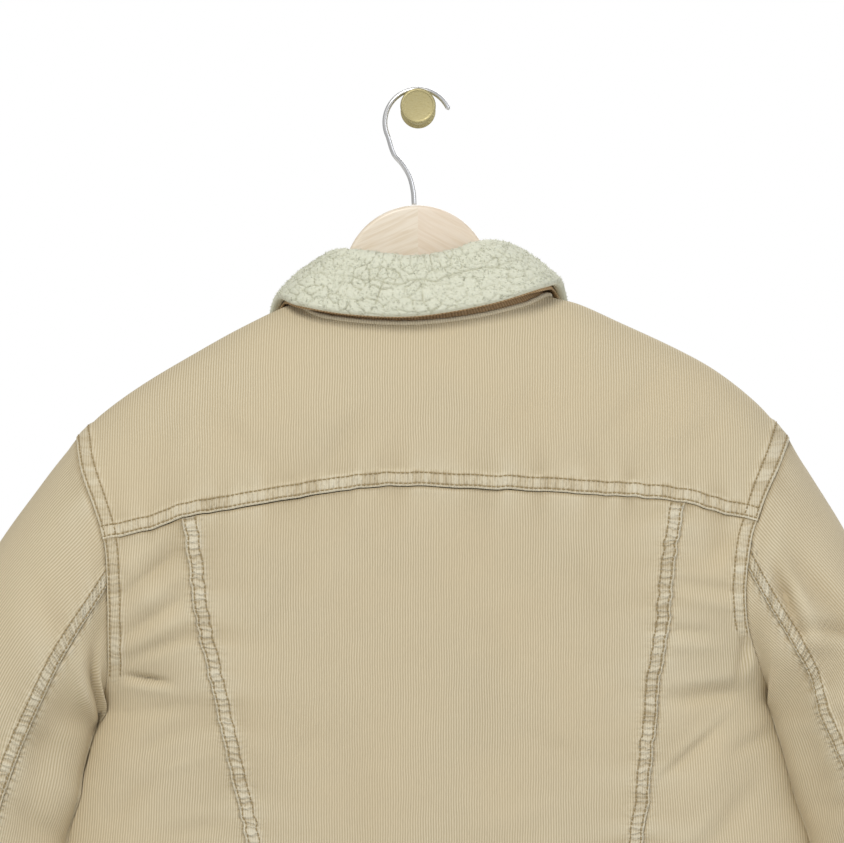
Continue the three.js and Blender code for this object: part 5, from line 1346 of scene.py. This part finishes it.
def addPile(surface, normals, crack, ends):
    # loose curls on the clumps: three-sided tapering hooks, bent over at the tip, for the soft outline
    rng = np.random.default_rng(720)
    count = 9000
    rows, columns = crack.shape
    r, c = rng.uniform(1, rows - 2, count), rng.uniform(1, columns - 2, count)
    ri, ci = r.astype(int), c.astype(int)
    keep = (crack[ri, ci] > 0.55)
    ri, ci = ri[keep], ci[keep]
    base, up = surface[ri, ci], normals[ri, ci]
    count = len(base)
    lean = unit(np.cross(up, rng.normal(size=(count, 3))))
    side = np.cross(up, lean)
    high = rng.uniform(0.5, 1.15, count)[:, None]
    reach = rng.uniform(0.4, 1.2, count)[:, None]
    ring = np.linspace(0, 2 * np.pi, 3, endpoint=False)
    levels = [(-0.3, 0.0, 0.36), (0.55, 0.35, 0.26), (1.0, 1.0, 0.12)]
    rings = []
    for upward, over, thick in levels:
        centre = base + up * high * upward + lean * reach * over
        rings.append(centre[:, None] + thick * (side[:, None] * np.cos(ring)[None, :, None]
                                                + lean[:, None] * np.sin(ring)[None, :, None]))
    tip = base + up * high * 0.72 + lean * reach * 1.7
    points = np.concatenate([np.stack(rings, axis=1).reshape(count, 9, 3), tip[:, None]], axis=1)
    start = (np.arange(count) * 10)[:, None, None]
    sides = (start + gridFaces(3, 3, wrap=True)[None]).reshape(-1, 4)
    caps = (start + np.array([[6, 7, 9], [7, 8, 9], [8, 6, 9], [2, 1, 0]])[None]).reshape(-1, 3)
    uv = np.repeat(rng.uniform(0, 300, (count, 2)), 10, axis=0)
    putMesh("collar_pile", points.reshape(-1, 3), [sides, caps], [sherpaPile], uv, np.full(count * 10, 0.95))


makeCollar()
print("collar is folded")

for group in sorted(stitchRows):
    sewStitches(group, threadTan)


def makeMetal(name, base, dark, roughness, scale, brushed):
    # plated or bare metal; fine scratches and specks are drawn a little coarse so that they show at this size
    material, tree = newMaterial(name)
    place = addNode(tree, "TexCoord").outputs["Object"]
    stretched = addNode(tree, "Mapping", {"Vector": place, "Scale": brushed})
    grit = addNode(tree, "TexNoise", {"Vector": stretched, "Scale": scale, "Detail": 5.0})
    specks = addNode(tree, "TexVoronoi", {"Vector": place, "Scale": 900.0})
    spot = addNode(tree, "MapRange", {0: specks, 1: 0.06, 2: 0.16, 3: 0.6, 4: 0.0})
    colour = addNode(tree, "Mix", {0: grit, 6: fromHex(base), 7: fromHex(dark)}, **asColour).outputs[2]
    colour = addNode(tree, "Mix", {0: spot, 6: colour, 7: fromHex(dark)}, **asColour).outputs[2]
    rough = addNode(tree, "MapRange", {0: grit, 1: 0.3, 2: 0.7, 3: roughness * 0.8, 4: roughness * 1.3})
    bump = addNode(tree, "Bump", {"Height": grit, "Strength": 0.15, "Distance": 0.0002})
    finishMaterial(tree, {"Base Color": colour, "Metallic": 1.0, "Roughness": rough, "Normal": bump})
    return material


def makeBeech():
    # Beech, sanded and lacquered: pale pinkish cream, short darker flecks along the grain and a satin coat. The
    # dome's two halves are cut with the grain leaning opposite ways.
    material, tree = newMaterial("lacqueredBeech")
    place = addNode(tree, "TexCoord").outputs["Object"]
    parts = addNode(tree, "SeparateXYZ", {0: place}).outputs
    half = addNode(tree, "Math", {0: parts[0], 1: 0.0}, operation="GREATER_THAN")
    grains = []
    for turn in (24, -28):
        lean = addNode(tree, "Mapping", {"Vector": place, "Rotation": (0, math.radians(turn), 0)})
        lean = addNode(tree, "Mapping", {"Vector": lean, "Scale": (7, 60, 95)})
        grains.append(addNode(tree, "TexNoise", {"Vector": lean, "Scale": 5.0, "Detail": 6.0, "Distortion": 0.4}))
    grain = addNode(tree, "Mix", {0: half, 2: grains[0], 3: grains[1]})
    fleck = addNode(tree, "MapRange", {0: grain, 1: 0.42, 2: 0.66, 3: 0.0, 4: 1.0})
    pinker = addNode(tree, "Math", {0: half, 1: 0.35}, operation="MULTIPLY")
    colour = addNode(tree, "Mix", {0: fleck, 6: fromHex("EADFCF"), 7: fromHex("DFD0BA")}, **asColour).outputs[2]
    colour = addNode(tree, "Mix", {0: pinker, 6: colour, 7: fromHex("E8D5C3")}, **asColour).outputs[2]
    finishMaterial(tree, {"Base Color": colour, "Roughness": 0.42, "Coat Weight": 0.3, "Coat Roughness": 0.25})
    return material


antiqueBrass = makeMetal("antiqueBrassButton", "A68E5E", "6E5A38", 0.38, 260.0, (1, 1, 1))
agedBrass = makeMetal("agedBrassPeg", "CFC69C", "B2A77B", 0.55, 320.0, (1, 1, 6))
chrome = makeMetal("chromeWire", "F2F2F3", "DADBDD", 0.3, 200.0, (1, 1, 1))
beech = makeBeech()


def lathe(profile, count, centre, axis):
    # a profile of (radius, height) pairs turned round an axis; its first and last points lie on the axis
    profile = np.array(profile, float)
    axis = unit(np.array(axis, float))
    side = unit(np.cross(axis, [0.3, 0.2, 0.9]))
    other = np.cross(axis, side)
    turn = np.linspace(0, 2 * np.pi, count, endpoint=False)
    ringPoints = (np.array(centre, float) + profile[1:-1, 1][:, None, None] * axis
                  + profile[1:-1, 0][:, None, None] * (side * np.cos(turn)[None, :, None]
                                                       + other * np.sin(turn)[None, :, None]))
    rows = len(profile) - 2
    tips = [np.array(centre) + axis * profile[0, 1], np.array(centre) + axis * profile[-1, 1]]
    points = np.concatenate([ringPoints.reshape(-1, 3), tips])
    k = np.arange(count)
    after = (k + 1) % count
    low = np.stack([np.full(count, rows * count), after, k], axis=-1)
    last = (rows - 1) * count
    high = np.stack([np.full(count, rows * count + 1), last + k, last + after], axis=-1)
    return points, [gridFaces(rows, count, wrap=True), np.concatenate([low, high])]


def softened(profile, radius=0.25):
    # a turned profile with each inner corner cut twice, so that the edges catch the light
    profile = [np.array(p, float) for p in profile]
    result = [profile[0]]
    for before, point, after in zip(profile, profile[1:], profile[2:]):
        a, b = before - point, after - point
        cutA = a / np.linalg.norm(a) * min(radius, np.linalg.norm(a) / 3)
        cutB = b / np.linalg.norm(b) * min(radius, np.linalg.norm(b) / 3)
        result += [point + cutA, point + 0.25 * (cutA + cutB), point + cutB]
    return result + [profile[-1]]


button = {"radius": 8.5, "profile": [(0, 0), (4.2, 0), (4.4, 0.5), (7.9, 0.55), (8.5, 1.0), (8.5, 2.3), (7.9, 3.0),
                                     (7.0, 3.25), (6.4, 2.7), (5.4, 2.75), (3.0, 3.0), (0, 3.1)]}


def makeButton(name, base, normal):
    points, faces = lathe(softened(button["profile"], 0.2), 56, base + normal * cut["seamGap"], normal)
    putMesh(f"{name}_brass", points, faces, [antiqueBrass], replaces=[name])


for i in range(5):
    z = mix(-238, -712, i / 4)
    x = centreFront(z)
    out = cut["seamGap"] + cut["placketWall"]
    makeButton(f"button_{i + 1}", bodyPoint(np.array(x), np.array(z), "front", out),
               bodyNormal(np.array(x), np.array(z), "front"))
waistX, waistZ = centreFront(cut["waistTop"]), (cut["waistTop"] + cut["hemZ"]) / 2
makeButton("button_waistband",
           bodyPoint(np.array(waistX), np.array(waistZ), "front", cut["bandRise"] + cut["waistWall"] + 0.6),
           bodyNormal(np.array(waistX), np.array(waistZ), "front"))
for side in ("left", "right"):
    at = np.array(7.0)
    angle = backSeam[side](at) - 12
    _, outward, down, wide, deep = sleeveSection(side, at)
    base = sleeveEllipse(side, at, angle, cut["bandRise"] + cut["cuffWall"] + 0.9 - 1.5) + down * cut["cuffDeep"] / 2
    a = np.radians(angle)
    makeButton(f"button_cuff_{side}", base, unit(outward * np.cos(a) / wide + np.array([0, -1, 0]) * np.sin(a) / deep))


def makeHanger():
    # flat wood with rounded edges: the outline is set in by growing amounts towards both faces
    centreX, centreZ, radius = -0.7, -123.5, 52.8
    clear = cut["bodyWall"] + 2.2
    armEnd = {"left": -206, "right": 222}

    def onShoulder(x):
        slope = (shoulderZ(x + 1) - shoulderZ(x - 1)) / 2
        return np.stack([x, shoulderZ(x) - clear * np.hypot(1, slope)], axis=-1)

    arm = {side: onShoulder(np.linspace(sideSign[side] * 112, armEnd[side], 40)) for side in armEnd}
    dome = np.radians(np.linspace(168, 12, 90))
    dome = np.stack([centreX + radius * np.cos(dome), centreZ + radius * np.sin(dome)], axis=-1)
    waist = lambda sign: np.array([(sign * 56, -134), (sign * 66, -146), (sign * 88, -154)], float)

    def under(side):
        end, sign = arm[side][-1], sideSign[side]
        return np.array([(end[0] + sign * 3, end[1] - 8), (end[0] + sign, end[1] - 18), (end[0] - sign * 8, end[1] - 22),
                         (mix(sign * 100, end[0], 0.5), mix(-178, end[1] - 32, 0.5))])

    keys = np.concatenate([arm["left"][::-1], waist(-1)[::-1], dome, waist(1), arm["right"], under("right"),
                           [(60, -176), (0, -168), (-60, -176)], under("left")[::-1]])
    # even points round the loop, then a little smoothing of the corners
    loop = np.concatenate([keys, keys[:1]])
    length = lengthAlong(loop)
    at = np.linspace(0, length[-1], 561)[:-1]
    line = np.stack([np.interp(at, length, loop[:, k]) for k in (0, 1)], axis=-1)
    for _ in range(3):
        line = 0.25 * np.roll(line, 1, axis=0) + 0.5 * line + 0.25 * np.roll(line, -1, axis=0)
    along = unit(np.roll(line, -1, axis=0) - np.roll(line, 1, axis=0))
    inward = np.stack([along[:, 1], -along[:, 0]], axis=-1)  # the loop runs clockwise
    turn = np.linspace(-np.pi / 2, np.pi / 2, 13)
    rim = 3.2
    rings = []
    for t in turn:
        setIn = rim * (1 - math.cos(t))
        y = cut["hangY"] + math.copysign(6 - rim, math.sin(t)) * (abs(math.sin(t)) > 1e-6) + rim * math.sin(t)
        ringLine = line + inward * setIn
        rings.append(np.stack([ringLine[:, 0], np.full(len(line), y), ringLine[:, 1]], axis=-1))
    points = np.concatenate(rings)
    count = len(line)
    faces = gridFaces(len(rings), count, wrap=True)
    ends = np.stack([np.arange(count)[::-1], (len(rings) - 1) * count + np.arange(count)])
    putMesh("hanger", points, [faces, ends], [beech], replaces=["hanger_wood"])


def makeHook():
    # round wire carried along its route
    bend = 10.3 + cut["seamGap"] + 3.5 / 2 + 11.4
    arc = np.radians(np.linspace(205, 22, 60))
    keys = np.concatenate([np.array([(-2.8, -70.3), (-3.6, -60), (-6.2, -50), (-11.2, -41.5), (-17.2, -34.2)]),
                           np.stack([bend * np.cos(arc), -11.4 + bend * np.sin(arc)], axis=-1)])
    length = lengthAlong(keys)
    lines = [curveThrough(list(zip(length, keys[:, k]))) for k in (0, 1)]
    at = np.linspace(0, length[-1], 150)
    path = np.stack([lines[0](at), lines[1](at)], axis=-1)
    along = unit(np.gradient(path, axis=0))
    across = np.stack([along[:, 1], -along[:, 0]], axis=-1)
    ring = np.linspace(0, 2 * np.pi, 20, endpoint=False)
    grow = np.minimum(1, np.sqrt(np.clip((length[-1] - at) / 1.6, 0.12, 1)))[:, None]
    points = np.stack([
        path[:, None, 0] + 1.75 * grow * np.cos(ring) * across[:, None, 0],
        cut["hangY"] + 1.75 * grow * np.sin(ring)[None] + 0 * path[:, None, 0],
        path[:, None, 1] + 1.75 * grow * np.cos(ring) * across[:, None, 1],
    ], axis=-1)
    ends = np.stack([np.arange(20)[::-1], 149 * 20 + np.arange(20)])
    putMesh("hook", points.reshape(-1, 3), [gridFaces(150, 20, wrap=True), ends], [chrome],
                   replaces=["hanger_hook"])


def makePeg():
    # turned brass: a foot against the wall, a shank, and a head with a raised rim
    head = cut["hangY"] - 3.5 / 2 - 3
    profile = [(0, 0), (12.7, 0), (12.7, -3.2), (10.3, -4), (10.3, head), (11.9, head - 0.3), (12.7, head - 1),
               (12.7, head - 3.6), (11.7, head - 4.4), (10.9, head - 4.4), (10.4, head - 4.0), (0, head - 4.0)]
    points, faces = lathe(softened(profile, 0.3), 96, (0, 0, 0), (0, 1, 0))
    putMesh("peg", points, faces, [agedBrass], replaces=["wall_peg"])


makeHanger()
makeHook()
makePeg()
print("hanger, hook and peg are made")


view = {"pixel": 0.71, "wide": 844, "high": 843, "planeY": -100.0, "away": 4400.0, "peg": (418, 104)}
studio = {"keyPower": 50, "fillPower": 18, "roomPower": 45, "ambient": 0.44}

cameraData = bpy.data.cameras.new("photoCamera")
cameraData.sensor_fit = "HORIZONTAL"
cameraData.sensor_width = 36
cameraData.lens = 36 * view["away"] / (view["wide"] * view["pixel"])
camera = bpy.data.objects.new("photoCamera", cameraData)
middleX = (view["wide"] / 2 - view["peg"][0]) * view["pixel"]
middleZ = -(view["high"] / 2 - view["peg"][1]) * view["pixel"]
camera.location = Vector((middleX, view["planeY"] - view["away"], middleZ)) * 0.001
camera.rotation_euler = (math.pi / 2, 0, 0)
scene.collection.objects.link(camera)
scene.camera = camera


def addLamp(name, place, aim, size, power, tint):
    lamp = bpy.data.lights.new(name, "AREA")
    lamp.shape = "DISK"
    lamp.size = size
    lamp.energy = power
    lamp.color = fromHex(tint)[:3]
    holder = bpy.data.objects.new(name, lamp)
    holder.location = place
    holder.rotation_euler = (Vector(aim) - Vector(place)).to_track_quat("-Z", "Y").to_euler()
    scene.collection.objects.link(holder)


middle = (0, -0.06, -0.42)
addLamp("keySoftbox", (-0.8, -2.3, 1.7), middle, 1.1, studio["keyPower"], "FFFCF6")
addLamp("fillSoftbox", (2.2, -2.0, 0.3), middle, 2.2, studio["fillPower"], "F6F8FF")
addLamp("roomSoftbox", (0.6, 2.6, 1.2), middle, 2.4, studio["roomPower"], "FFFFFF")

world = bpy.data.worlds.new("studio")
scene.world = world
world.use_nodes = True
tree = world.node_tree
tree.nodes.clear()
seen = addNode(tree, "LightPath").outputs["Is Camera Ray"]
around = addNode(tree, "Background", {"Color": fromHex("FDFDFB"), "Strength": studio["ambient"]})
behind = addNode(tree, "Background", {"Color": (1, 1, 1, 1), "Strength": 1.0})
both = addNode(tree, "MixShader", {0: seen, 1: around, 2: behind})
addNode(tree, "OutputWorld", {"Surface": both})
scene.view_settings.view_transform = "Standard"
scene.view_settings.look = "None"

floorSpan = np.linspace(-3.0, 3.0, 13) * 1000
floorX, floorY = np.meshgrid(floorSpan, floorSpan)
floorPoints = np.stack([floorX, floorY, -1300 + 0 * floorX], axis=-1).reshape(-1, 3)
floorMaterial, tree = newMaterial("paintedFloor")  # matt white paint, rolled: only a trace of orange peel
place = addNode(tree, "TexCoord").outputs["Object"]
peel = addNode(tree, "TexNoise", {"Vector": place, "Scale": 180.0})
tone = addNode(tree, "Mix", {0: peel, 6: fromHex("E9E8E5"), 7: fromHex("EEEDEB")}, **asColour).outputs[2]
finishMaterial(tree, {"Base Color": tone, "Roughness": 0.9})
floorMesh = bpy.data.meshes.new("floor")
floorMesh.from_pydata((floorPoints * 0.001).tolist(), [], gridFaces(13, 13).tolist())
floorMesh.materials.append(floorMaterial)
floor = bpy.data.objects.new("floor", floorMesh)
scene.collection.objects.link(floor)
print("camera and light are set")
